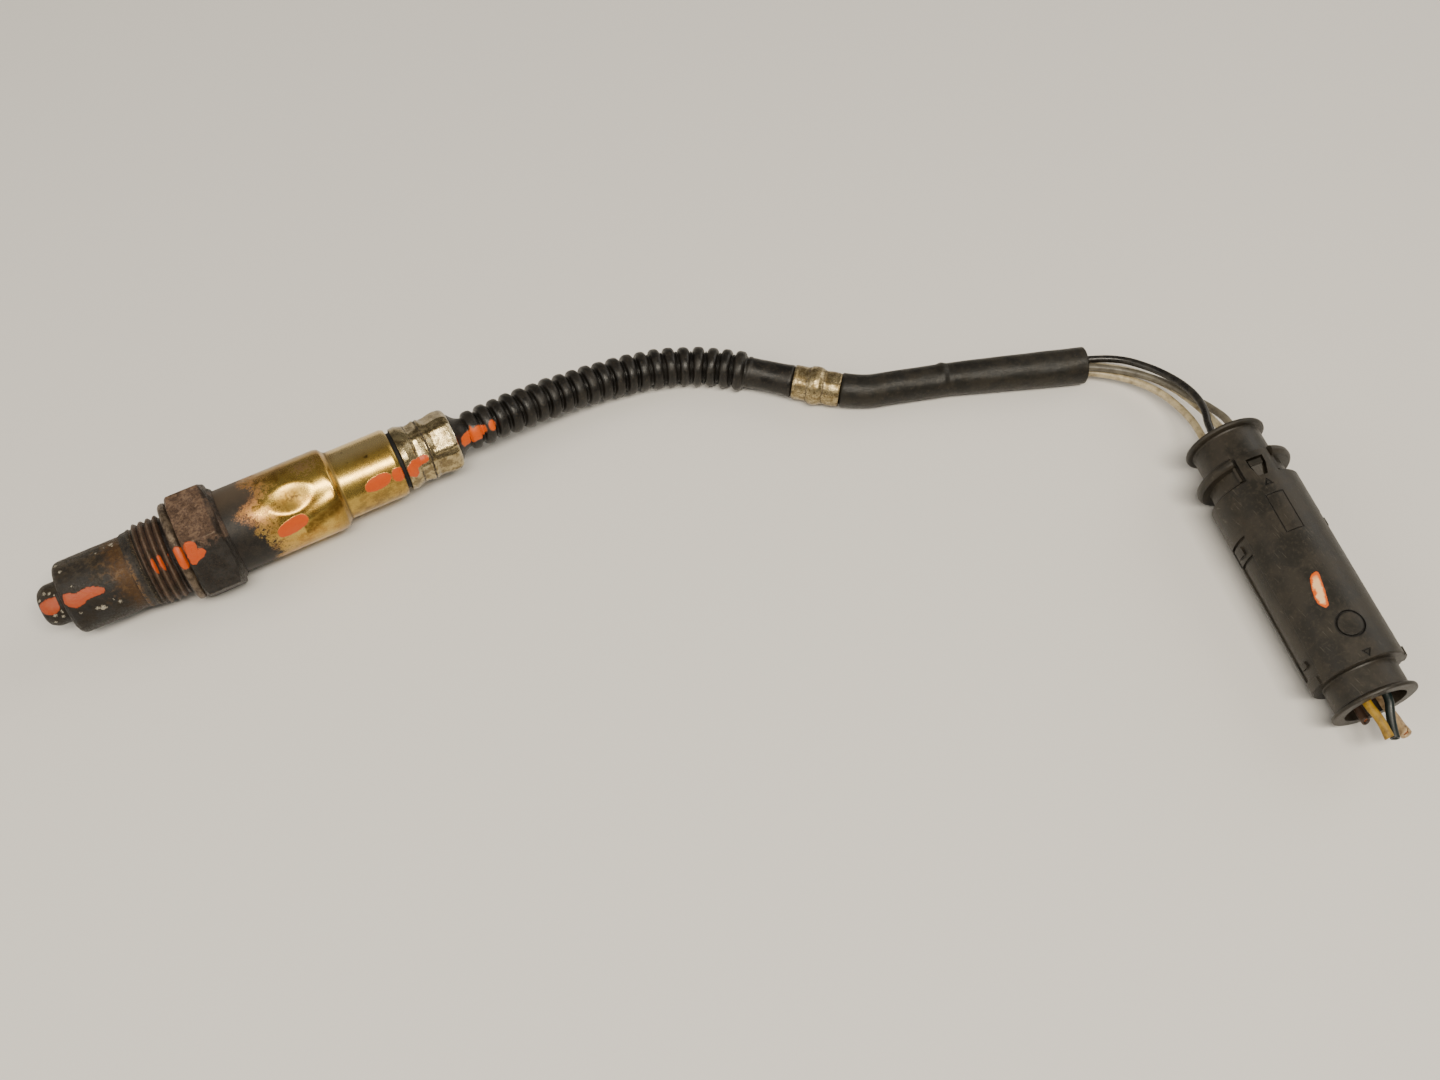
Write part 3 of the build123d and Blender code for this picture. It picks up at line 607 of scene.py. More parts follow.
def copper_mat():
    m = Mat("copper_strands")
    f = m.noise(4.0, 4, 0.6)
    col = m.mix(m.step(f, 0.4, 0.7), srgb(190, 118, 78), srgb(120, 66, 42))
    return m.set(color=col, rough=m.lerp(f, 0.28, 0.5), metal=0.9)


M_BOOT, M_SLEEVE, M_FER, M_CU = rubber_boot(), sleeve_rubber(), ferrule_mat(), copper_mat()
WIRE_MATS = {
    "black": wire_mat("wire_black", srgb(20, 18, 16), srgb(62, 56, 46), 0.5, 0.25),
    "grey": wire_mat("wire_grey", srgb(100, 94, 80), srgb(50, 44, 35), 0.8, 0.32),
    "white_a": wire_mat("wire_white_a", srgb(184, 168, 132), srgb(92, 78, 56), 0.8, 0.34),
    "white_b": wire_mat("wire_white_b", srgb(196, 182, 148), srgb(100, 84, 60), 0.7, 0.34),
    "yellow": wire_mat("wire_yellow", srgb(158, 122, 12), srgb(84, 58, 18), 0.9, 0.4, 0.8),
    "teal": wire_mat("wire_teal", srgb(12, 25, 24), srgb(24, 25, 21), 0.6, 0.3),
    "cream": wire_mat("wire_cream", srgb(176, 150, 112), srgb(104, 80, 54), 0.85, 0.42, 0.8),
    "brown": wire_mat("wire_brown", srgb(66, 48, 36), srgb(40, 34, 28), 0.6, 0.36),
}

# ---------------------------------------------------------------------------
# the lead: boot, ferrule, cable sleeve, wires, and the cut harness wires
# ---------------------------------------------------------------------------
u3 = tuple(p_f + u_f * 4.6)
boot_path = Path(line_of(nurbs("route_boot", [(45.2, 0.0, 11.0), (49.0, 0.0, 11.0)] + route[:8] + [route[8], u3])))
# distance along the path at which the cuff starts, nearest to the eighth route point
s_cuff = float(boot_path.s[np.argmin(np.linalg.norm(boot_path.p - np.array(route[7]), axis=1))])
s_fer = float(boot_path.s[np.argmin(np.linalg.norm(boot_path.p - p_f, axis=1))])
N_CONV, S_FIRST = 21, 3.05
PITCH = (s_cuff + 0.4 - S_FIRST) / N_CONV
CREST, ROOT = 4.5, 3.25


def conv(s):
    """radius of the corrugated part and how deep in a valley the point lies"""
    q = (s - S_FIRST) / PITCH
    k = math.floor(q)
    u = q - k
    grow = 0.80 + 0.20 * min(1.0, max(0.0, (q + 0.2) / 2.2))
    crest = ROOT + (CREST - ROOT) * grow * (1.0 + 0.05 * math.sin(k * 2.3))
    if u < 0.78:
        c = abs((u - 0.39) / 0.39)
        return ROOT + (crest - ROOT) * math.sqrt(max(0.0, 1 - c ** 2.9)), c ** 3 * 0.7
    c = (u - 0.89) / 0.11
    rib = 0.34 * max(0.0, 1 - (c / 0.7) ** 2)
    return ROOT - 0.05 + rib, 1.0 - 0.35 * (rib > 0.15)


rows_b, depth_at = [], {}
s = -1.6
outer = [(-1.6, 5.3), (-0.4, 5.42), (0.05, 5.45), (0.3, 5.2), (0.6, 4.85), (0.95, 4.45), (1.3, 4.1), (1.7, 3.8),
         (2.2, 3.56), (2.6, 3.42), (2.9, 3.34)]
for a, r in outer:
    rows_b.append((a, r, 0))
    depth_at[round(a, 3)] = 0.0
k = 0
s = S_FIRST
n_rows = int(round((s_cuff - 0.35 - S_FIRST) / (PITCH / 28)))
for i in range(n_rows + 1):
    s = S_FIRST + (s_cuff - 0.35 - S_FIRST) * i / n_rows
    r, d = conv(min(s, s_cuff - 0.351))
    rows_b.append((s, r, 0))
    depth_at[round(s, 3)] = d
cl = s_fer - s_cuff
for a, r in [(0.0, 3.35), (0.35, 3.62), (0.8, 3.66), (1.15, 3.5), (1.6, 3.46), (3.0, 3.44), (4.5, 3.43), (6.0, 3.44), (7.5, 3.47),
             (8.8, 3.52), (9.8, 3.6), (cl - 0.5, 3.66), (cl - 0.15, 3.6), (cl, 3.3), (cl + 0.1, 3.08), (cl + 2.0, 3.08),
             (cl + 4.4, 3.08)]:
    rows_b.append((s_cuff + a, r, 0))
    depth_at[round(s_cuff + a, 3)] = 0.0
end_b = s_cuff + cl + 4.4
inner = [(end_b, 2.5), (end_b - 8, 2.48)] + [(x, 2.48) for x in np.arange(end_b - 14, 9.0, -6.0)] + \
        [(8.0, 2.5), (5.0, 2.9), (2.5, 3.4), (0.0, 3.65), (-1.6, 3.7)]
for a, r in inner:
    rows_b.append((float(a), r, 1))


def boot_rad(s, r, tag, th):
    if tag == 1:
        return s, r
    w = 0.035 * np.sin(2 * th + 0.21 * s) + 0.02 * np.sin(5 * th - 0.5 * s)
    return s + 0.12 * np.sin(th + 0.35 * s[0]) * (s > 5) * (s < s_cuff - 1), r + w * (s > 2)


boot_dabs = [
    [(0.75, 60.0), (1.15, 76.0), (2.35, 82.0), (3.35, 77.0), (4.05, 71.0), (4.65, 71.5), (5.25, 73.5), (6.05, 67.5), (6.60, 54.0),
     (6.50, 37.5), (5.45, 30.0), (4.65, 30.0), (4.05, 34.0), (3.65, 21.0), (3.40, 31.0), (2.85, 34.0), (1.95, 39.0), (1.05, 46.5)],
    oval(7.15, 8.95, 31, 62, seed=2.0),
]


def boot_valley_shade(S, D, R, G):
    keys = np.array(sorted(depth_at))
    vals = np.array([depth_at[q] for q in keys])
    return np.where(G == 0, np.interp(S, keys, vals), 0.0)


boot = sweep("lead_boot", boot_path, rows_b, 72, [M_BOOT], ["rubber_boot"], rad=boot_rad,
             attrs={"dab": dab(boot_dabs, 4.4), "low": boot_valley_shade})

# ferrule: turned about the straight run from the cuff to the bend
z_ = np.array([0.0, 0.0, 1.0])
n_f = z_ - (u_f @ z_) * u_f
n_f /= np.linalg.norm(n_f)
b_f = np.cross(u_f, n_f)
fer_rows = profile([(0.05, 3.12, 0.0, 1), (0.05, 3.78, 0.12, 0), (0.55, 3.9, 0.3, 0), (2.9, 3.86, 0.4, 0), (3.5, 3.98, 0.5, 0),
                    (4.0, 4.3, 0.5, 0), (5.0, 4.42, 1.0, 0), (6.0, 4.3, 0.5, 0), (6.6, 3.98, 0.4, 0), (7.2, 3.8, 0.5, 0),
                    (8.9, 3.9, 0.8, 0), (FER_L - 0.35, 3.8, 0.3, 0), (FER_L, 3.66, 0.1, 0), (FER_L, 3.12, 0.0, 1),
                    (7.0, 3.12, 0.0, 1), (6.4, 3.3, 0.0, 1), (5.4, 3.6, 0.0, 1), (4.4, 3.5, 0.0, 1), (3.4, 3.12, 0.0, 1)],
                   0.3)


def fer_disp(x, r, tag, th):
    if tag == 1:
        return x, r
    x0 = x[0]
    band = ss(x0, 0.3, 0.9) * (1 - ss(x0, 2.6, 3.2)) + ss(x0, 7.0, 7.6) * (1 - ss(x0, 10.0, 10.6))
    n = nz(np.cos(th) * 2.2, np.sin(th) * 2.2, x0 * 0.5, 1.0, 4.0)
    step_ = -0.10 * band * (0.5 + 0.5 * np.sign(np.sin(4 * th + 1.0 + (x0 > 5) * 0.9)) * ss(np.abs(np.sin(4 * th + 1.0 + (x0 > 5) * 0.9)), 0.0, 0.3))
    return x, r + 0.05 * n + step_


def fer_grime(X, D, R, G):
    g = np.exp(-((X - 3.35) / 0.28) ** 2) + np.exp(-((X - 6.95) / 0.3) ** 2) + 0.8 * np.exp(-((X - 0.1) / 0.3) ** 2) \
        + 0.8 * np.exp(-((X - FER_L) / 0.4) ** 2)
    lines = np.exp(-(((D + 400 + 12 * (X > 5)) % 45 - 22) / 2.2) ** 2) * ((X < 3.2) | (X > 7.1)) * 0.8
    return np.where(G == 0, np.clip(g * 0.8 + lines, 0, 1), 0.6)


ferrule = lathe("lead_ferrule", fer_rows, np.linspace(0, 2 * math.pi, 96, endpoint=False), [M_FER],
                ["ferrule"], disp=fer_disp, frame_of=(p_f, u_f, n_f, b_f), attrs={"grime": fer_grime})

s0 = p_f + u_f * 6.0
sl_path = Path(line_of(nurbs("route_cable_sleeve", [tuple(s0)] + route[9:])))
L_SL = sl_path.len
in_fer = FER_L - 6.0
rows_s = [(0.0, 3.08, 0), (1.5, 3.08, 0), (3.0, 3.08, 0), (in_fer - 0.1, 3.08, 0), (in_fer + 0.05, 3.4, 0), (in_fer + 0.2, 3.72, 0),
          (in_fer + 0.5, 3.84, 0)]
x_bump = float(sl_path.s[np.argmin(np.linalg.norm(sl_path.p - np.array((150.6, -32.8, 4.25)), axis=1))])
for a in np.arange(in_fer + 0.9, L_SL - 0.5, 0.42):
    t = (a - in_fer) / (L_SL - in_fer)
    r = 3.82 - 0.12 * math.sin(min(1.0, t * 1.8) * math.pi) + 0.34 * ss(t, 0.45, 0.98)
    rows_s.append((float(a), float(r), 0))
rows_s += [(L_SL - 0.3, 4.2, 0), (L_SL - 0.1, 4.18, 0), (L_SL, 4.05, 0), (L_SL + 0.02, 3.6, 0), (L_SL - 0.02, 3.15, 0), (L_SL - 0.25, 2.98, 0),
           (L_SL - 1.0, 2.85, 0), (L_SL - 2.5, 2.7, 0), (L_SL - 5.0, 2.55, 1), (L_SL - 10.0, 2.5, 1)]
rows_s += [(float(a), 2.48, 1) for a in np.arange(L_SL - 16, 1.0, -6.0)] + [(0.0, 2.48, 1)]


def sl_rad(s, r, tag, th):
    a = s[0]
    # the ring-like bump on the far and upper side, with a crease behind it
    far = 0.5 + 0.5 * np.cos(th + 0.55)
    g = np.exp(-((a - x_bump + 0.25 * np.sin(th)) / 0.75) ** 2)
    out = 0.34 * g * far ** 1.5
    out = out - 0.22 * np.exp(-((a - x_bump - 1.5 + 0.3 * np.sin(2 * th)) / 0.5) ** 2) * (0.5 + 0.5 * np.cos(th - 0.9)) ** 2
    out = out - 0.12 * np.exp(-((a - x_bump - 2.8) / 0.45) ** 2) * (0.5 + 0.5 * np.cos(th - 0.6)) ** 3
    vis = 1.0 if tag == 0 else 0.0
    n = nz(np.cos(th) * 1.5, np.sin(th) * 1.5, a * 0.16, 1.0, 2.0)
    out = out * vis + 0.09 * n * (vis if a > in_fer + 0.4 else 0.0)
    end = ss(a, L_SL - 6, L_SL)
    oval_ = 0.16 * end * np.cos(2 * th + 0.5) if a > L_SL - 6 else 0.0
    cut = 0.22 * np.sin(th + 0.8) * ss(a, L_SL - 1.5, L_SL) if a > L_SL - 1.5 else 0.0
    return s + cut, r + out + oval_


sleeve = sweep("lead_sleeve", sl_path, rows_s, 80, [M_SLEEVE], ["cable_sleeve"], rad=sl_rad)

for key, pts in wire_pts.items():
    cu = nurbs("lead_wire_" + key, pts)
    cu.bevel_depth = 0.00085
    cu.bevel_resolution = 6
    cu.use_fill_caps = True
    cu.materials.append(WIRE_MATS[key])
    ob = bpy.data.objects.new("lead_wire_" + key, cu)
    bpy.context.scene.collection.objects.link(ob)
    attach(ob, "root")
    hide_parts("wire_" + key)
    length = Path(line_of(nurbs("measure_" + key, pts))).len * MM
    print("wire", key, round(length * 1000, 1))


def strands(name, path, at, r_core):
    """seven short twisted strands that stand in the cut end"""
    verts, faces = [], []
    for j in range(7):
        rr = 0.0 if j == 0 else r_core * 0.64
        q = r_core * 0.335
        n = 10
        ss_ = np.linspace(at - 2.2, at + (0.12 if j % 2 else 0.02), 6)
        base = len(verts)
        for i, a in enumerate(ss_):
            c, t, nn, bb = path.at([a])
            ph = j * math.pi / 3 + (a - at) * 0.5
            o = c[0] + rr * (math.cos(ph) * nn[0] + math.sin(ph) * bb[0])
            for k_ in range(n):
                w = 2 * math.pi * k_ / n
                verts.append(o + q * (math.cos(w) * nn[0] + math.sin(w) * bb[0]))
        for i in range(5):
            for k_ in range(n):
                a0, a1 = base + i * n + k_, base + i * n + (k_ + 1) % n
                faces.append((a0, a0 + n, a1 + n, a1))
        faces.append(tuple(base + k_ for k_ in range(n)))
        faces.append(tuple(base + 5 * n + k_ for k_ in reversed(range(n))))
    return make(name, np.array(verts), faces, [M_CU])


for key, pts in stub_pts.items():
    path = Path(line_of(nurbs("route_stub_" + key, pts)))
    L_ = path.len
    rows_w = [(0.0, 0.0, 0), (0.0, 0.9, 0)] + [(float(a), 0.9, 0) for a in np.arange(0.8, L_ - 0.5, 0.8)]
    flare = {"cream": 0.28, "yellow": 0.08, "teal": 0.04, "brown": 0.03}[key]
    rows_w = [q for q in rows_w if q[0] < L_ - 3.2]
    for a in np.arange(L_ - 3.2, L_ - 0.2, 0.35):
        rows_w.append((float(a), 0.9 + flare * float(ss(a, L_ - 3.0, L_)) ** 1.4, 0))
    rows_w += [(L_ - 0.1, 0.9 + flare, 0), (L_, 0.84 + flare, 0), (L_ + 0.01, 0.62 + flare * 0.6, 0), (L_ - 0.06, 0.54 + flare * 0.4, 1),
               (L_ - 0.6, 0.5, 1), (L_ - 1.4, 0.5, 1), (L_ - 1.4, 0.0, 1)]

    def stub_rad(s, r, tag, th, key=key, L_=L_):
        a = s[0]
        n = nz(np.cos(th), np.sin(th), a * 0.5, 1.0, 3.0 + len(key))
        end = ss(a, L_ - 1.2, L_)
        cut = 0.14 * np.sin(th * 1.0 + len(key)) * end if tag == 0 or a > L_ - 0.5 else 0.0
        if key == "cream" and a > L_ - 1.6:
            notch = np.exp(-(((th - 5.9 + math.pi) % (2 * math.pi) - math.pi) / 0.33) ** 2)
            cut = cut - 1.1 * notch * ss(a, L_ - 1.6, L_ - 0.05)
        return s + cut, r + 0.03 * n

    ob = sweep("stub_" + key, path, rows_w, 32, [WIRE_MATS[key]], ["harness_wire_" + key],
               rad=stub_rad, closed=False)
    core = strands("strands_" + key, path, L_ - 0.35, 0.5)
    print("stub", key, round(L_, 1))
print("boot path", round(boot_path.len, 1), "cuff at", round(s_cuff, 1), "ferrule at", round(s_fer, 1), "pitch", round(PITCH, 2),
      "sleeve path", round(L_SL, 1))

# ---------------------------------------------------------------------------
# materials of the sensor body
# ---------------------------------------------------------------------------
def soot_steel(name="sooted_steel"):
    m = Mat(name)
    x, y, z = m.xyz()
    ang = m.angle()
    g = m.noise(0.30, 6, 0.62)
    f = m.noise(2.2, 6, 0.7, off=(3, 5, 1))
    g2 = m.noise(0.85, 6, 0.66, off=(8, 1, 4))
    col = m.mix(m.step(g, 0.42, 0.60), srgb(22, 18, 14), srgb(41, 35, 27))
    col = m.mix(m.step(g2, 0.52, 0.62, 0.0, 0.75), col, srgb(17, 14, 11))
    col = m.mix(m.step(f, 0.56, 0.68, 0.0, 0.4), col, srgb(80, 67, 51))
    # painted highlight: patchy grey towards the top
    top = m.mul(m.step(ang, 34.0, -24.0), m.step(g2, 0.42, 0.58, 0.25, 1.0))
    col = m.mix(m.mul(top, 0.5), col, srgb(82, 72, 57))
    # tan heat band in front of the collar
    xb = m.add(x, m.mul(m.math("SUBTRACT", g2, 0.5), 7.0))
    xb = m.add(xb, m.mul(m.step(ang, 20.0, 90.0), -1.1))
    band = m.mul(m.step(xb, -31.0, -27.2), m.step(m.add(x, m.mul(m.math("SUBTRACT", f, 0.5), 2.4)), -25.0, -26.4))
    low = m.step(ang, 120.0, 70.0, 0.15, 1.0)
    band = m.mul(m.mul(band, low), m.step(ang, -58.0, -6.0, 0.25, 1.0))
    band = m.mul(band, m.step(f, 0.38, 0.52, 0.5, 1.0))
    col = m.mix(m.mul(band, 0.80), col, srgb(85, 59, 32))
    far_band = m.mul(m.mul(m.step(x, -36.0, -29.0), m.step(g2, 0.5, 0.62)), m.step(ang, 88.0, 55.0))
    col = m.mix(m.mul(far_band, 0.28), col, srgb(120, 92, 58))
    dots = m.step(m.voronoi(0.95), 0.17, 0.07)
    dots = m.mul(dots, m.step(m.noise(0.7, 2, 0.5, off=(2, 2, 8)), 0.5, 0.62))
    col = m.mix(m.mul(dots, 0.8), col, srgb(18, 15, 13))
    n3 = m.noise(4.2, 5, 0.75, off=(2, 2, 6))
    fl = m.step(m.add(m.attr("fleck"), m.mul(m.math("SUBTRACT", n3, 0.5), 3.4)), 0.74, 0.86)
    fl = m.mul(fl, m.step(m.attr("fleck"), 0.1, 0.4))
    col = m.mix(m.mul(fl, 0.9), col, srgb(176, 168, 150))
    rough = m.lerp(m.step(f, 0.4, 0.62), 0.42, 0.70)
    metal = m.lerp(band, m.lerp(m.step(g, 0.42, 0.6), 0.15, 0.5), 0.5)
    rough = m.lerp(fl, rough, 0.8)
    metal = m.lerp(fl, metal, 0.0)
    mask = dab_mask(m, 0.10, 0.7)
    col, rough, metal = paint_over(m, mask, col, rough, metal, tone=srgb(160, 57, 0), pale=srgb(162, 76, 22), wear=0.6)
    b = m.bump(m.add(f, m.mul(m.noise(7, 4, 0.65), 0.6)), 0.13, 0.8)
    b = m.bump(fl, 0.12, 0.8, normal=b)
    b = m.bump(mask, 0.08, 0.8, normal=b)
    return m.set(color=col, rough=rough, metal=metal, normal=b)


def housing_steel():
    m = Mat("oxidised_steel")
    x, y, z = m.xyz()
    ang = m.angle()
    g = m.noise(0.36, 6, 0.64, off=(1, 7, 2))
    f = m.noise(1.7, 6, 0.7)
    f2 = m.noise(5.5, 5, 0.68, off=(6, 3, 1))
    brown = m.mix(m.step(f, 0.42, 0.60), srgb(80, 60, 47), srgb(116, 92, 72))
    brown = m.mix(m.step(g, 0.48, 0.62, 0.0, 0.5), brown, srgb(64, 48, 39))
    brown = m.mix(m.step(f2, 0.56, 0.66, 0.0, 0.4), brown, srgb(138, 118, 98))
    dark = m.mix(m.step(f, 0.42, 0.62), srgb(26, 23, 20), srgb(48, 42, 36))
    speck = m.mul(m.step(f2, 0.58, 0.66), m.step(g, 0.48, 0.58))
    dark = m.mix(m.mul(speck, 0.6), dark, srgb(104, 82, 58))
    # the flat on top is brown, the next one down nearly black, with a ragged border
    edge = m.add(ang, m.mul(m.math("SUBTRACT", f, 0.5), 34.0))
    edge = m.add(edge, m.mul(m.math("SUBTRACT", g, 0.5), 40.0))
    up_ = m.mul(m.step(edge, 40.0, 34.0), m.step(ang, -80.0, -50.0, 0.4, 1.0))
    col = m.mix(up_, dark, brown)
    # thread: reddish brown, with painted shade in the roots and a painted highlight along the crests
    thr = m.mul(m.step(x, -23.35, -23.05), m.step(x, -16.2, -16.8))
    crest = m.attr("crest")
    tcol = m.mix(m.step(f, 0.40, 0.62), srgb(52, 36, 27), srgb(86, 64, 49))
    tcol = m.mix(m.mul(m.step(g, 0.50, 0.60), 0.6), tcol, srgb(62, 54, 42))
    tcol = m.mix(m.mul(m.step(m.add(crest, m.mul(m.math("SUBTRACT", f2, 0.5), 1.6)), 0.85, 1.10), 0.45), tcol, srgb(118, 98, 78))
    tcol = m.mix(m.step(crest, 0.42, 0.05), tcol, srgb(22, 13, 9))
    # painted shade: darker at the front run-in of the thread, next to the collar
    tcol = m.mix(m.mul(m.step(x, -22.2, -23.0), 0.75), tcol, srgb(24, 22, 15))
    col = m.mix(thr, col, tcol)
    # collar: sooty as the tube in front of it, with a crumbly pale line at its rear edge
    collar = m.step(x, -23.2, -23.5)
    ccol = m.mix(m.step(f, 0.42, 0.62), srgb(28, 25, 22), srgb(58, 51, 43))
    ccol = m.mix(m.mul(m.step(x, -24.6, -25.6), m.mul(m.step(f, 0.42, 0.55), m.step(ang, 0.0, 30.0))), ccol, srgb(112, 82, 50))
    col = m.mix(collar, col, ccol)
    xc = m.add(x, m.mul(m.math("SUBTRACT", f, 0.5), 1.6))
    crumb = m.mul(m.step(xc, -24.0, -23.8), m.step(xc, -23.15, -23.35))
    crumb = m.mul(crumb, m.step(f2, 0.48, 0.55))
    crumb = m.mul(crumb, m.step(m.noise(0.7, 4, 0.6, off=(5, 9, 9)), 0.42, 0.54, 0.15, 0.85))
    crumb = m.mul(crumb, m.step(ang, -50.0, -10.0, 0.3, 1.0))
    col = m.mix(crumb, col, m.mix(m.step(f, 0.45, 0.55), srgb(150, 134, 106), srgb(118, 98, 64)))
    worn = m.step(m.add(m.attr("edge"), m.mul(m.math("SUBTRACT", f, 0.5), 2.6)), 0.85, 1.15)
    col = m.mix(m.mul(worn, 0.45), col, srgb(132, 118, 100))
    grease = m.mul(m.step(x, -7.5, -6.9), m.step(g, 0.40, 0.56, 0.55, 1.0))
    col = m.mix(m.mul(grease, 0.85), col, srgb(34, 30, 26))
    n3 = m.noise(3.4, 5, 0.75, off=(2, 7, 6))
    fl = m.step(m.add(m.attr("fleck"), m.mul(m.math("SUBTRACT", n3, 0.5), 3.0)), 0.70, 0.85)
    fl = m.mul(fl, m.step(m.attr("fleck"), 0.1, 0.4))
    col = m.mix(m.mul(fl, 0.8), col, srgb(156, 148, 134))
    col = m.mix(m.attr("shade"), col, srgb(10, 9, 8))
    rough = m.lerp(m.step(f, 0.42, 0.62), 0.42, 0.68)
    rough = m.lerp(worn, rough, 0.38)
    metal = m.lerp(worn, m.lerp(m.step(g, 0.42, 0.6), 0.2, 0.5), 0.8)
    metal = m.lerp(crumb, metal, 0.0)
    mask = dab_mask(m, 0.1, 0.55)
    col, rough, metal = paint_over(m, mask, col, rough, metal, tone=srgb(192, 70, 0), pale=srgb(194, 84, 12), wear=0.6)
    b = m.bump(m.add(f, m.mul(f2, 0.7)), 0.2, 0.85)
    b = m.bump(crumb, 0.2, 0.9, normal=b)
    b = m.bump(mask, 0.07, 0.7, normal=b)
    return m.set(color=col, rough=rough, metal=metal, normal=b)


def ring_steel():
    m = Mat("ring_steel")
    f = m.noise(1.1, 6, 0.66)
    g = m.noise(0.5, 5, 0.6, off=(3, 3, 1))
    fine = m.noise(5.0, 4, 0.6, off=(7, 1, 1))
    col = m.mix(m.step(f, 0.42, 0.60), srgb(72, 60, 50), srgb(114, 98, 80))
    col = m.mix(m.step(g, 0.48, 0.6, 0.0, 0.5), col, srgb(54, 42, 34))
    col = m.mix(m.mul(m.mul(m.attr("rim"), m.step(f, 0.45, 0.58)), 0.5), col, srgb(116, 102, 86))
    rough = m.lerp(m.step(fine, 0.4, 0.62), 0.40, 0.62)
    metal = m.lerp(m.attr("rim"), 0.35, 0.65)
    mask = dab_mask(m, 0.1, 0.5)
    col, rough, metal = paint_over(m, mask, col, rough, metal, tone=srgb(192, 71, 0), pale=srgb(194, 86, 14), wear=0.6)
    b = m.bump(m.add(f, m.mul(fine, 0.5)), 0.10, 0.6)
    b = m.bump(mask, 0.07, 0.7, normal=b)
    return m.set(color=col, rough=rough, metal=metal, normal=b)


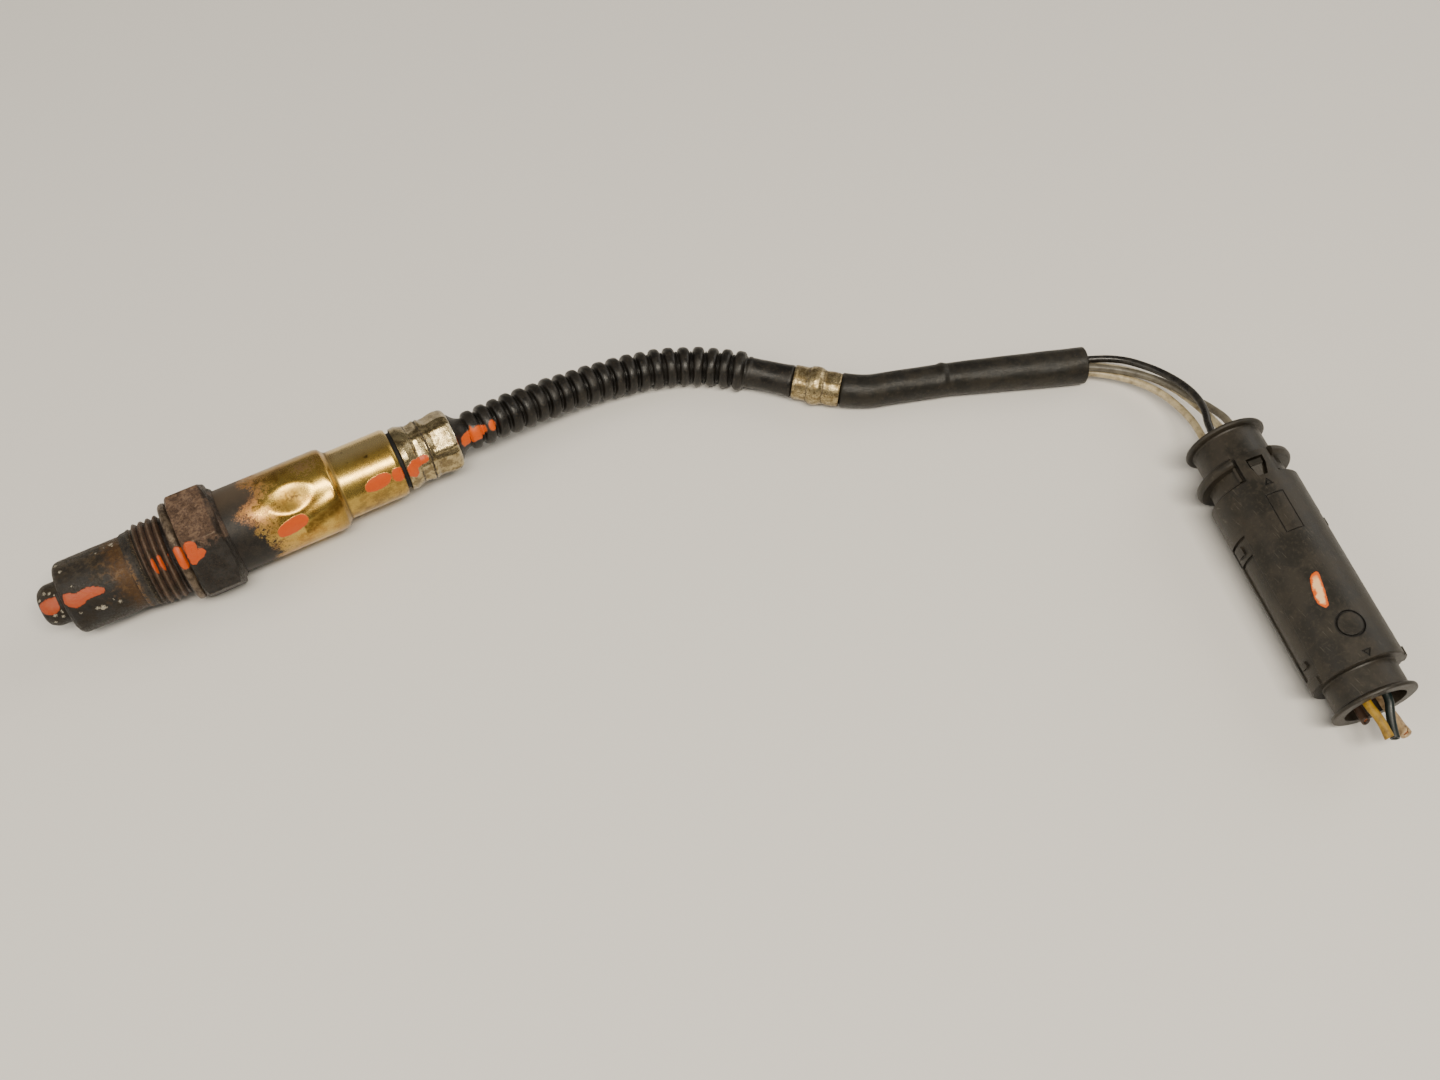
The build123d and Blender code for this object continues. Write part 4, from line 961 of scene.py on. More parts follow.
def sleeve_steel():
    m = Mat("tinted_steel")
    x, y, z = m.xyz()
    ang = m.angle()
    n0 = m.noise(0.17, 4, 0.5, off=(7, 7, 1))
    n1 = m.noise(0.50, 6, 0.66)
    n2 = m.noise(1.5, 6, 0.74, off=(2, 8, 5))
    fine = m.noise(5.0, 5, 0.7, off=(1, 4, 2))
    c1, c2, c3, cf = (m.math("SUBTRACT", n, 0.5) for n in (n1, n2, n0, fine))
    # heat tint: gold, browner in places
    gold = m.mix(m.step(n1, 0.43, 0.60), srgb(196, 156, 76), srgb(168, 128, 58))
    gold = m.mix(m.step(n0, 0.44, 0.60, 0.0, 0.6), gold, srgb(206, 176, 92))
    back = m.step(x, 17.0, 21.0)
    gold = m.mix(m.mul(back, 0.4), gold, srgb(188, 160, 84))
    far = m.step(ang, 4.0, -42.0)
    gold = m.mix(m.mul(m.mul(back, m.step(ang, 12.0, -14.0)), 0.7), gold, srgb(240, 214, 158))
    # painted shade: the far top of the big sleeve is browner, standing in for the dark surroundings it reflects
    gold = m.mix(m.mul(m.mul(far, 0.55), m.inv(m.mul(back, 0.9))), gold, srgb(140, 110, 66))
    # painted shade: a dark band low on the near side of the small sleeve, standing in for a dark reflection
    low = m.mul(m.step(ang, 52.0, 80.0), m.step(ang, 130.0, 96.0))
    gold = m.mix(m.mul(m.mul(low, m.step(n1, 0.4, 0.6, 0.4, 1.0)), m.mul(back, 0.55)), gold, srgb(96, 76, 46))
    # painted shade: darker on the near side of the big sleeve in front of the step
    near_step_shade = m.mul(m.mul(m.step(x, 13.5, 17.8), m.step(x, 19.0, 18.5)), m.step(ang, 26.0, 54.0))
    gold = m.mix(m.mul(near_step_shade, 0.55), gold, srgb(110, 82, 40))
    dots = m.mul(m.step(m.voronoi(0.62), 0.11, 0.045), m.step(m.noise(0.4, 2, 0.5, off=(3, 1, 6)), 0.46, 0.58))
    fleck = m.step(m.add(m.attr("fleck"), m.mul(cf, 2.4)), 0.7, 0.9)
    dots = m.math("MAXIMUM", dots, m.mul(fleck, m.step(m.attr("fleck"), 0.1, 0.4)))
    spec = m.mul(m.step(n2, 0.60, 0.66), m.step(x, 18.0, 6.0, 0.25, 1.0))
    # soot in front of an uneven edge, with rust and pale orange spots along it
    d = m.attr("soot")
    rag = m.add(m.add(m.mul(c2, 10.0), m.mul(cf, 5.0)), m.mul(c1, 7.0))
    e1 = m.add(d, rag)
    soot = m.step(e1, 0.45, -0.45)
    isl = m.mul(m.step(m.add(m.mul(n2, 0.7), m.mul(fine, 0.5)), 0.655, 0.69), m.step(d, 5.0, 1.0))
    soot = m.math("MAXIMUM", soot, m.mul(isl, 0.85))
    e2 = m.add(d, m.add(m.mul(c1, 16.0), m.mul(c2, 14.0)))
    up_ = m.step(ang, 58.0, 34.0, 0.35, 1.0)
    rustz = m.mul(m.mul(m.step(e2, 4.6, 0.8), m.step(fine, 0.40, 0.52, 0.35, 1.0)), up_)
    rcol = m.mix(m.step(n2, 0.46, 0.58), srgb(178, 124, 74), srgb(118, 78, 46))
    col = m.mix(m.mul(rustz, 0.85), gold, rcol)
    pale = m.mul(m.mul(m.step(m.add(d, m.mul(c2, 8.0)), -2.4, -0.4), m.step(m.add(d, m.mul(c2, 8.0)), 2.8, 0.8)),
                 m.mul(m.step(ang, -2.0, 12.0), m.step(ang, 46.0, 32.0)))
    pale = m.mul(pale, m.step(fine, 0.43, 0.53))
    col = m.mix(m.mul(spec, 0.7), col, srgb(96, 68, 42))
    brown = m.attr("mottle")
    br = m.step(m.add(m.add(brown, m.mul(c2, 5.0)), m.mul(cf, 3.0)), 0.55, 0.85)
    col = m.mix(m.mul(br, 0.8), col, srgb(84, 58, 42))
    # the stain attribute holds a brown stain in the dent and painted shade below the crease
    stain_and_shade = m.mul(m.attr("stain_and_shade"), m.step(m.add(m.mul(n2, 0.6), m.mul(n1, 0.4)), 0.43, 0.55, 0.72, 1.0))
    col = m.mix(m.mul(stain_and_shade, 0.94), col, srgb(90, 64, 20))
    col = m.mix(m.mul(dots, 0.85), col, srgb(70, 50, 30))
    sootc = m.mix(m.step(n1, 0.42, 0.60), srgb(18, 15, 12), srgb(36, 30, 23))
    sootc = m.mix(m.mul(m.step(fine, 0.52, 0.62), 0.35), sootc, srgb(70, 60, 48))
    # painted highlight: the soot is lighter towards the top
    sootc = m.mix(m.mul(m.step(ang, 24.0, -22.0), 0.75), sootc, srgb(96, 82, 67))
    col = m.mix(soot, col, sootc)
    col = m.mix(m.mul(pale, 0.7), col, srgb(196, 136, 82))
    # painted shade: a dark line in the corner of the step and on the end lip facing the gap to the crimp sleeve
    ln = m.attr("line")
    col = m.mix(m.mul(ln, 0.9), col, srgb(34, 26, 18))
    rough = m.lerp(m.step(fine, 0.38, 0.64), 0.21, 0.30)
    rough = m.lerp(m.math("MAXIMUM", br, m.mul(rustz, 0.9)), rough, 0.56)
    rough = m.lerp(stain_and_shade, rough, 0.52)
    rough = m.lerp(soot, rough, 0.56)
    rough = m.lerp(ln, rough, 0.6)
    metal = m.lerp(soot, 0.97, 0.3)
    metal = m.lerp(m.mul(m.math("MAXIMUM", br, rustz), 0.7), metal, 0.3)
    metal = m.lerp(pale, metal, 0.35)
    metal = m.lerp(ln, metal, 0.4)
    mask = dab_mask(m, 0.09, 0.4)
    col, rough, metal = paint_over(m, mask, col, rough, metal, tone=srgb(194, 72, 0), pale=srgb(202, 88, 8), wear=0.4)
    b = m.bump(m.add(m.mul(fine, 0.4), m.mul(n2, 0.5)), 0.045, 0.45)
    b = m.bump(soot, -0.05, 0.6, normal=b)
    b = m.bump(mask, 0.08, 0.8, normal=b)
    return m.set(color=col, rough=rough, metal=metal, normal=b)


def crimp_steel():
    m = Mat("bright_steel")
    x, y, z = m.xyz()
    g = m.noise(0.6, 6, 0.66)
    f = m.noise(2.2, 6, 0.72, off=(4, 2, 7))
    fine = m.noise(6.0, 4, 0.6)
    col = m.mix(m.step(g, 0.42, 0.60), srgb(184, 166, 124), srgb(124, 108, 76))
    col = m.mix(m.step(f, 0.52, 0.64, 0.0, 0.6), col, srgb(88, 72, 48))
    # painted shade: darker on the far top, standing in for the dark surroundings it reflects
    col = m.mix(m.mul(m.step(m.angle(), 2.0, -16.0), 0.35), col, srgb(150, 136, 106))
    # the grime attribute holds dirt in the crack and the fold lines and a painted shade band on the rear pressing
    gr = m.step(m.add(m.attr("grime"), m.mul(m.math("SUBTRACT", f, 0.5), 2.0)), 0.50, 0.95)
    col = m.mix(m.mul(gr, 0.92), col, srgb(40, 31, 22))
    rim = m.step(x, 44.6, 45.0)
    col = m.mix(m.mul(rim, 0.5), col, srgb(206, 198, 176))
    col = m.mix(m.attr("shade"), col, srgb(8, 7, 6))
    rough = m.lerp(m.step(f, 0.4, 0.62), 0.17, 0.30)
    rough = m.lerp(gr, rough, 0.6)
    rough = m.lerp(m.attr("shade"), rough, 0.75)
    metal = m.lerp(gr, 0.96, 0.4)
    metal = m.lerp(m.attr("shade"), metal, 0.0)
    mask = dab_mask(m, 0.09, 0.5)
    col, rough, metal = paint_over(m, mask, col, rough, metal, tone=srgb(196, 73, 0), pale=srgb(202, 88, 8), wear=0.4)
    b = m.bump(m.add(f, m.mul(fine, 0.25)), 0.07, 0.6)
    b = m.bump(mask, 0.07, 0.7, normal=b)
    return m.set(color=col, rough=rough, metal=metal, normal=b)


M_SOOT, M_HEX, M_RING, M_TUBE, M_CRIMP = soot_steel(), housing_steel(), ring_steel(), sleeve_steel(), crimp_steel()

# ---------------------------------------------------------------------------
# probe tubes
# ---------------------------------------------------------------------------
TH = np.linspace(0, 2 * math.pi, 144, endpoint=False)
X_TIP, X_OUT, X_FL, T_ = -45.2, -40.0, -24.8, 0.5

tip_dab = [(-44.55, 17), (-43.9, 14.5), (-42.6, 14), (-41.2, 15.5), (-40.75, 22), (-40.85, 36), (-41.05, 49), (-41.9, 57),
           (-43.2, 58), (-44.3, 51), (-44.75, 36)]


def tip_disp(x, r, tag, th):
    if tag:
        return x, r
    n = nz(x * 0.6, np.cos(th) * r * 0.35, np.sin(th) * r * 0.35, 1.0, 5.0)
    return x + 0.06 * n * (x < X_TIP + 1), r + 0.05 * n * (r > 0.5)


inner_rows = profile([(X_TIP + 0.3, 0.0, 0, 0), (X_TIP + 0.3, 2.7, 0.3, 0), (X_TIP + 0.75, 3.6, 1.2, 0), (X_TIP + 2.1, 4.5, 2.6, 0),
                      (X_TIP + 4.2, 4.52, 0.0, 0), (X_FL, 4.6, 0.0, 1), (X_FL, 7.0, 0, 1), (X_FL + T_, 7.0, 0, 1),
                      (X_FL + T_, 4.1, 0, 1), (X_TIP + 3.6, 4.05, 1.0, 1), (X_TIP + 1.5, 3.4, 0.8, 1), (X_TIP + 0.8, 2.5, 0.3, 1),
                      (X_TIP + 0.8, 0.0, 0, 1)], 0.32, closed=False, seg=5)
tip = lathe("probe_inner_tube", inner_rows, TH, [M_SOOT], ["inner_protection_tube"], disp=tip_disp,
            closed=False, attrs={"dab": dab([tip_dab], 4.3),
                                 "fleck": spots([(-42.9, -5, 0.5), (-41.9, 1, 0.45), (-40.3, -6, 0.5), (-42.6, 62, 0.5),
                                                 (-41.3, 73, 0.45), (-41.0, 12, 0.35), (-40.9, 58, 0.5), (-44.2, 5, 0.4),
                                                 (-43.2, 84, 0.4), (-42.2, -48, 0.5)], 4.6)})

nose_dab = [(-39.0, 24.6), (-37.7, 27.6), (-36.8, 31.9), (-35.7, 30.6), (-34.5, 29.1), (-33.3, 31.5), (-32.3, 35), (-31.4, 40.8), (-31.85, 46.7), (-33.7, 46.6),
            (-35.2, 46.5), (-36, 49.5), (-37.6, 52.4), (-38.9, 47.5), (-39.5, 38.0)]


def nose_disp(x, r, tag, th):
    if tag:
        return x, r
    n = nz(x * 0.16, np.cos(th) * 1.2, np.sin(th) * 1.2, 1.0, 8.0)
    n2 = nz(x * 0.9, np.cos(th) * 6, np.sin(th) * 6, 1.0, 1.0)
    return x + 0.05 * n * (x < X_OUT + 1.5), r + (0.07 * n + 0.018 * n2) * (r > 5.4)


outer_rows = profile([(X_OUT, 5.2, 0.12, 0), (X_OUT, 6.5, 0.3, 0), (X_OUT + 0.28, 7.15, 0.8, 0), (X_OUT + 0.9, 7.72, 1.0, 0),
                      (X_OUT + 1.9, 7.85, 1.0, 0), (X_FL, 7.85, 0.0, 0), (X_FL, 8.1, 0, 1), (X_FL + T_, 8.1, 0, 1), (X_FL + T_, 7.05, 0, 1),
                      (X_FL, 7.05, 0, 1), (X_FL, 7.35, 0, 1), (X_OUT + 1.5, 7.35, 0.6, 1), (X_OUT + 0.65, 6.8, 0.5, 1),
                      (X_OUT + T_, 6.3, 0.2, 1), (X_OUT + T_, 5.2, 0.1, 1)], 0.36, seg=5)
nose = lathe("probe_outer_tube", outer_rows, TH, [M_SOOT], ["outer_protection_tube"], disp=nose_disp,
             attrs={"dab": dab([nose_dab], 7.85),
                    "fleck": spots([(-27.3, -26, 0.6), (-27.0, -20, 0.4), (-30.5, -20, 0.35), (-38.0, -11, 0.45), (-36.9, 19.5, 0.4),
                                    (-33.4, 67.5, 0.75), (-34.4, 65, 0.5), (-32.9, 70, 0.4), (-30.0, 70, 0.5), (-37.6, 61.5, 0.4),
                                    (-30.9, 62, 0.3), (-28.7, -24, 0.3), (-38.6, -30, 0.5), (-33.0, -60, 0.5),
                                    (-36.0, 120, 0.5), (-31.0, -110, 0.6)], 7.85)})

# ---------------------------------------------------------------------------
# hex housing
# ---------------------------------------------------------------------------
offs = [0.0, 0.45, 0.9, 1.37, 2.0, 2.9, 4.1, 5.6, 7.4, 9.4, 11.6, 13.9, 16.3, 18.8, 21.4, 24.2, 27.1, 30.0]
psis = [-o for o in reversed(offs[1:])] + offs[:-1]
TH_H = np.radians(np.array([c * 60 + 30 + p for c in range(6) for p in psis]) % 360)
TH_H = np.sort(TH_H)
RHO = 0.62


def hex_r(th):
    deg = (np.degrees(th) + 30) % 60 - 30         # from the middle of the nearest flat
    c = (11.0 - RHO) / math.cos(math.radians(30))
    psi = np.radians(30 - np.abs(deg))
    flat = 11.0 / np.cos(np.radians(deg))
    inside = np.clip(RHO ** 2 - (c * np.sin(psi)) ** 2, 0, None)
    corner = c * np.cos(psi) + np.sqrt(inside)
    return np.where(np.degrees(psi) < 1.37, corner, flat)


X_H0, X_H1 = -14.5, -6.2


def hex_cap(x):
    """the turned limit of the hexagon: chamfer cones at both faces"""
    if x < X_H0 + 0.9:
        return 11.3 + (12.8 - 11.3) * (x - X_H0) / 0.9
    if x > X_H1 - 1.1:
        return 11.05 + (12.8 - 11.05) * (X_H1 - x) / 1.1
    return 12.8


PITCH_T, DEPTH_T, R_T = 1.5, 0.72, 9.0
X_T0, X_T1 = -23.15, -17.0


def thread_r(x, th):
    """right-hand thread with a worn flat crest, running out at both ends"""
    ph = (x / PITCH_T + th / (2 * math.pi)) % 1.0
    tri = np.abs(ph - 0.5) * 2            # 1 at the crest, 0 at the root
    h = np.clip((tri - 0.05) / 0.80, 0, 1)
    h = h * (1.25 - 0.25 * h)
    env = ss(x, X_T0 - 0.1, X_T0 + 0.75) * (1 - ss(x, X_T1 - 0.7, X_T1 + 0.2))
    return R_T - DEPTH_T * (1 - h) * 1.0, env, h


rows_h = []
for q in profile([(-25.6, 7.9, 0, 1), (-25.6, 8.02, 0.05, 0), (-25.3, 8.14, 0.3, 0), (-24.2, 8.24, 0.3, 0), (-23.85, 8.42, 0.15, 0),
                  (-23.5, 8.42, 0.15, 0), (-23.3, 8.16, 0.1, 0), (X_T0, 8.12, 0.0, 0)], 0.22, closed=False):
    rows_h.append((q[0], q[1], q[2]))
for x in np.arange(X_T0 + 0.06, X_T1 + 0.25, 0.085):
    rows_h.append((float(x), 8.14, 2))
for q in profile([(X_T1 + 0.3, 8.2, 0, 0), (X_H0 - 0.02, 8.3, 0.0, 0), (X_H0, 9.6, 0, 0), (X_H0, 10.3, 0, 0)], 0.4, closed=False):
    rows_h.append((q[0], q[1], q[2]))
rows_h.append((X_H0, 10.7, 3))
for dx in [0.0, 0.02, 0.05, 0.09, 0.14, 0.2, 0.3, 0.4, 0.5, 0.6, 0.7, 0.8, 0.9, 1.0, 1.2, 1.5]:
    rows_h.append((X_H0 + dx, 12.8, 3))
for x in np.arange(X_H0 + 1.9, X_H1 - 1.5, 0.4):
    rows_h.append((float(x), 12.8, 3))
for dx in [1.5, 1.25, 1.1, 1.0, 0.9, 0.8, 0.7, 0.6, 0.5, 0.4, 0.3, 0.2, 0.14, 0.09, 0.05, 0.02, 0.0]:
    rows_h.append((X_H1 - dx, 12.8, 3))
rows_h.append((X_H1, 10.75, 3))
for q in profile([(X_H1, 10.35, 0.0, 0), (X_H1 + 0.05, 10.2, 0.1, 0), (X_H1 + 0.35, 10.0, 0.2, 0), (-5.3, 9.5, 0.2, 0), (-5.28, 9.16, 0.1, 0),
                  (-5.9, 9.13, 0, 1), (-5.9, 8.59, 0, 1), (-5.3, 8.59, 0, 1), (-5.3, 6.3, 0, 1), (-10.2, 6.3, 0, 1), (-10.2, 5.6, 0, 1),
                  (-19.0, 5.6, 0, 1), (-19.0, 4.0, 0, 1), (-24.28, 4.0, 0, 1), (-24.28, 8.12, 0, 1), (-24.82, 8.12, 0, 1),
                  (-24.82, 7.9, 0, 1), (-25.5, 7.9, 0, 1)], 0.3, closed=False):
    rows_h.append((q[0], q[1], q[2]))


def hex_disp(x, r, tag, th):
    x0 = float(x[0])
    if tag == 1:
        return x, r
    if tag == 2:
        tr, env, h = thread_r(x, th)
        n = nz(x * 0.8, np.cos(th) * 7, np.sin(th) * 7, 1.0, 3.0)
        n2 = nz(x * 0.3, np.cos(th) * 3, np.sin(th) * 3, 1.0, 6.0)
        rr = 8.14 + (np.maximum(tr, 8.14) - 8.14) * env
        rr = rr + (0.035 * n + 0.03 * n2) * env * h
        return x, np.maximum(rr, 8.12)
    if tag == 3:
        e = 0.0
        d = min(x0 - X_H0, X_H1 - x0)
        if d < 0.2 and r[0] > 12:
            e = 0.2 * (1 - math.sqrt(max(0.0, 1 - ((0.2 - d) / 0.2) ** 2)))
        hr = hex_r(th)
        n = nz(x * 0.25, np.cos(th) * 2.6, np.sin(th) * 2.6, 1.0, 9.0)
        n2 = nz(x * 1.1, np.cos(th) * 9, np.sin(th) * 9, 1.0, 2.0)
        top = np.minimum(hr, hex_cap(x0)) - e
        lying = np.abs(np.abs(th - math.pi)) < math.radians(30.1)
        dn = np.where(lying, 0.0, 0.045 * n + 0.02 * n2 - 0.04)
        if r[0] < 12:
            return x, np.minimum(top, r)
        return x, top + dn
    n = nz(x * 0.5, np.cos(th) * 3, np.sin(th) * 3, 1.0, 7.0)
    return x, r + 0.03 * n * (r > 7.95) * (r < 9.7)


def crest_attr(X, D, R, G):
    return np.where(G == 2, np.clip((R - 8.2) / 0.78, 0, 1), 0.5)


def edge_attr(X, D, R, G):
    deg = np.abs((D + 30) % 60 - 30)
    near_corner = np.clip(1 - (30 - deg) / 2.4, 0, 1)
    ends = np.clip(1 - np.minimum(np.abs(X - X_H0), np.abs(X - X_H1)) / 0.35, 0, 1)
    v = np.maximum(near_corner, ends * 0.8)
    return np.where(G == 3, v, 0.0)


def shade_attr(X, D, R, G):
    a = np.exp(-((X - (X_T1 + 0.75)) / 0.5) ** 2) * (R < 8.6)
    b_ = np.clip((X_H0 + 0.03 - X) / 0.02, 0, 1) * (X > X_H0 - 0.4) * (R < 10.9)
    return np.clip(0.85 * a + 0.9 * b_, 0, 1) * (G != 2)


hex_dabs = [
    ([(-21.3, 31), (-20.8, 28), (-20.3, 31), (-20.1, 44), (-20.5, 52), (-21.0, 50), (-21.3, 42)], 8.9),
    ([(-19.9, 29), (-19.4, 27), (-18.9, 31), (-18.6, 44), (-19.0, 52), (-19.5, 49), (-19.9, 40)], 8.9),
    ([(-17.75, 31), (-17.45, 30), (-17.2, 34), (-17.2, 42), (-17.45, 45), (-17.7, 41)], 8.8),
    ([(-14.2, 32), (-13.4, 28), (-12.4, 29), (-11.8, 32), (-11.7, 36), (-12.1, 40), (-11.3, 38.8), (-10.6, 40.5), (-10.6, 45.5),
      (-11.4, 49), (-12.5, 50), (-13.3, 53.5), (-14.2, 52)], 11.4),
]


def hex_dab(X, D, R, G):
    best = np.full(X.shape, -9.0)
    for poly, rr in hex_dabs:
        v = np.radians(D) * rr
        best = np.maximum(best, sdf(X, v, [(a, math.radians(b) * rr) for a, b in poly]))
    # paint on the thread sits on the crests only
    best = np.where(G == 2, best - np.clip((8.62 - R) * 3.0, 0, 9), best)
    return np.where((G == 1) | ((G == 0) & (X > -16.6) & (R < 10.9)), -9.0, best)


housing = lathe("sensor_housing", rows_h, TH_H, [M_HEX], ["hex_housing"], disp=hex_disp,
                attrs={"dab": hex_dab, "crest": crest_attr, "edge": edge_attr, "shade": shade_attr,
                       "fleck": spots([(-7.3, 31, 0.6), (-6.9, 33.5, 0.5), (-6.9, 36.5, 0.35), (-7.6, 25, 0.3), (-16.9, 20, 0.3),
                                       (-9.6, 26.5, 0.4), (-12.8, 2, 0.3), (-8.8, 36.5, 0.4)], 11.6)})

ring_rows = profile([(-16.4, 9.25, 0.05, 0), (-16.4, 10.2, 0.15, 0), (-16.1, 10.62, 0.3, 0), (-15.55, 10.78, 0.5, 0), (-15.0, 10.62, 0.3, 0),
                     (-14.62, 10.2, 0.15, 0), (-14.62, 8.6, 0.0, 1), (-15.1, 8.45, 0, 1), (-15.9, 8.45, 0, 1), (-16.2, 8.8, 0, 1)], 0.28)


def ring_disp(x, r, tag, th):
    if tag:
        return x, r
    n = nz(x * 0.2, np.cos(th) * 2, np.sin(th) * 2, 1.0, 4.5)
    n2 = nz(x, np.cos(th) * 8, np.sin(th) * 8, 1.0, 2.5)
    return x, r + (0.05 * n + 0.03 * n2) * (r > 9.4)


ring_dab = [(-16.6, 30), (-15.7, 27.5), (-14.4, 30.5), (-14.3, 52), (-15.2, 55), (-16.0, 54), (-16.5, 46)]
ring = lathe("sealing_ring", ring_rows, TH, [M_RING], ["seal_ring"], disp=ring_disp,
             attrs={"dab": dab([ring_dab], 10.7), "rim": lambda X, D, R, G: np.where(G == 0, np.clip((R - 10.35) / 0.3, 0, 1), 0.0)})

# ---------------------------------------------------------------------------
# protective sleeve with its dent
# ---------------------------------------------------------------------------
DX, DA, DR, DD = 8.7, math.radians(24.7), 10.5, 0.86


def sleeve_shape(x, r, th, off):
    """radius after the dent, for a wall that lies off mm inside the outer face"""
    base = r + off
    a = (th + math.pi) % (2 * math.pi) - math.pi
    da = a - DA
    rc = 9.1 + DR - DD
    wob = 0.16 * np.sin(3 * np.arctan2(da * 9.1, x - DX) + 0.8)
    inside = DR ** 2 - ((x - DX) * (1 + 0.04 * wob)) ** 2 - (rc * np.sin(da)) ** 2
    ball = np.where((inside > 0) & (np.cos(da) > 0.5), rc * np.cos(da) - np.sqrt(np.clip(inside, 0, None)), 1e3)
    k = 0.85
    d = np.clip(0.5 + 0.5 * (base - ball) / k, 0, 1)
    out = np.where(ball > 90, base, base * (1 - d) + ball * d - k * d * (1 - d) * 0.5)
    # raised rim pushed up round the dent
    q = np.hypot(x - DX, da * 9.1)
    out = out + 0.02 * np.exp(-((q - 5.3) / 1.3) ** 2)
    # the wall is pushed in between the dent and the step, up to a slanting crease on the near side
    a_deg = np.degrees(a)
    # crease from (9.9, 62) to (18.0, 47)
    u0, v0, u1, v1 = 9.9, math.radians(63) * 9.1, 18.0, math.radians(48) * 9.1
    ex, ey = u1 - u0, v1 - v0
    ln = math.hypot(ex, ey)
    dist = ((x - u0) * (-ey) + (a * 9.1 - v0) * ex) / ln * -1.0      # positive above the crease
    along = ss(x, 7.5, 11.0) * (1 - ss(x, 16.2, 18.2))
    slope = 0.36 * ss(dist, -0.1, 2.4) * (1 - ss(dist, 2.2, 7.0))
    out = out - slope * along * (a_deg > -40)
    # a soft unevenness of the wall, from handling
    n = nz(x * 0.09, np.cos(th) * 0.9, np.sin(th) * 0.9, 1.0, 12.0)
    out = out + 0.06 * n
    return out - off


sl_rows = profile([(-5.88, 8.62, 0, 1), (-5.88, 9.1, 0.0, 0), (16.7, 9.1, 0.9, 0), (17.7, 8.82, 0.7, 0), (18.35, 7.95, 0.35, 0), (18.7, 7.6, 0.35, 0),
                   (31.1, 7.6, 0.6, 0), (31.85, 7.35, 0.35, 0), (32.0, 6.75, 0.15, 0), (32.0, 6.36, 0.05, 0), (31.5, 6.36, 0, 1), (31.5, 6.8, 0.1, 1),
                   (31.1, 7.1, 0.2, 1), (18.2, 7.1, 0.2, 1), (17.7, 8.1, 0.2, 1), (17.2, 8.5, 0.3, 1), (16.6, 8.6, 0.2, 1),
                   (3.0, 8.6, 0, 1)], 0.38)
# the rows of the big sleeve are kept as the profile gives them
extra = []
for i, q in enumerate(sl_rows):
    extra.append(q)
sl_rows = extra


def sleeve_disp(x, r, tag, th):
    x0 = float(x[0])
    if x0 > 18.9:
        n = nz(x * 0.08, np.cos(th) * 0.8, np.sin(th) * 0.8, 1.0, 3.3)
        return x, r + (0.04 * n if tag == 0 else 0.0)
    if tag == 0 and r[0] > 9.0:
        return x, sleeve_shape(x, r, th, 0.0)
    if tag == 1 and r[0] > 8.55 and x0 < 16.7:
        return x, sleeve_shape(x, r, th, 0.5)
    if tag == 0 and 8.0 < r[0] <= 9.09 and x0 > 16:
        return x, r
    return x, r


# where the soot ends, as the distance along the axis at each angle
bound = [(-180, 0.5), (-120, 1.5), (-60, 0.6), (-25, 0.4), (-8, 1.8), (3, 2.3), (10, 1.2), (16, -0.6), (22, -1.4), (30, -0.4), (38, 0.6), (55, 1.0),
         (71, 1.4), (84, 2.4), (95, 3.0), (115, 1.6), (150, 0.8), (180, 0.5)]
ba, bx = np.array([q[0] for q in bound], float), np.array([q[1] for q in bound], float)
M_AREAS = [[(11.0, -22), (13.6, -24), (16.6, -18), (17.0, -6), (15.2, 4), (12.8, 5), (11.6, -2), (10.6, -12)],
           [(1.0, 72), (3.6, 70), (5.2, 74), (4.6, 82), (2.2, 88), (0.6, 84)],
           [(7.6, 20), (9.2, 18), (10.6, 24), (10.2, 31), (8.6, 32), (7.5, 27)]]


def mottle_attr(X, D, R, G):
    v = np.radians(D) * 9.1
    best = np.full(X.shape, -9.0)
    for poly in M_AREAS:
        best = np.maximum(best, sdf(X, v, [(a, math.radians(b) * 9.1) for a, b in poly]))
    return np.where(G == 0, np.clip(best / 2.2 + 0.25, -1, 1), -1)


def stain_and_shade_attr(X, D, R, G):
    v = np.radians(D - 24.0) * 9.1
    a = np.exp(-(((X - 8.8) / 2.6) ** 2 + (v / 2.1) ** 2) ** 1.4)
    # painted shade: a darker, duller strip below the slanting crease, standing in for a darker reflection
    edge = 63.0 - (X - 9.9) * (15.0 / 8.1)
    b_ = np.clip((D - edge) / 5.0, 0, 1) * (1 - np.clip((D - edge - 14.0) / 8.0, 0, 1)) * ((X > 9.0) & (X < 18.0)) * 0.9
    return np.where(G == 0, np.clip(np.maximum(a, b_), 0, 1), 0.0)


def step_and_gap_shade_attr(X, D, R, G):
    a = np.exp(-((X - 18.75) / 0.22) ** 2) * 0.9
    b_ = np.clip((X - 31.88) / 0.12, 0, 1)
    return np.where(G == 0, np.clip(a * 0.8 + b_, 0, 1), 0.7)


sl_dabs = [oval(3.5, 10.4, 50.5, 71.5, seed=3.0, wob=0.05, slant=-0.9)]
sl_dabs2 = [oval(23.4, 29.3, 43.5, 67.0, seed=4.2, wob=0.05, slant=-0.7), oval(29.5, 32.3, 44, 68, seed=5.1, wob=0.05)]


def sleeve_dab(X, D, R, G):
    a = dab(sl_dabs, 9.1)(X, D, R, G)
    b_ = dab(sl_dabs2, 7.6)(X, D, R, G)
    return np.where(X > 18.9, b_, a)


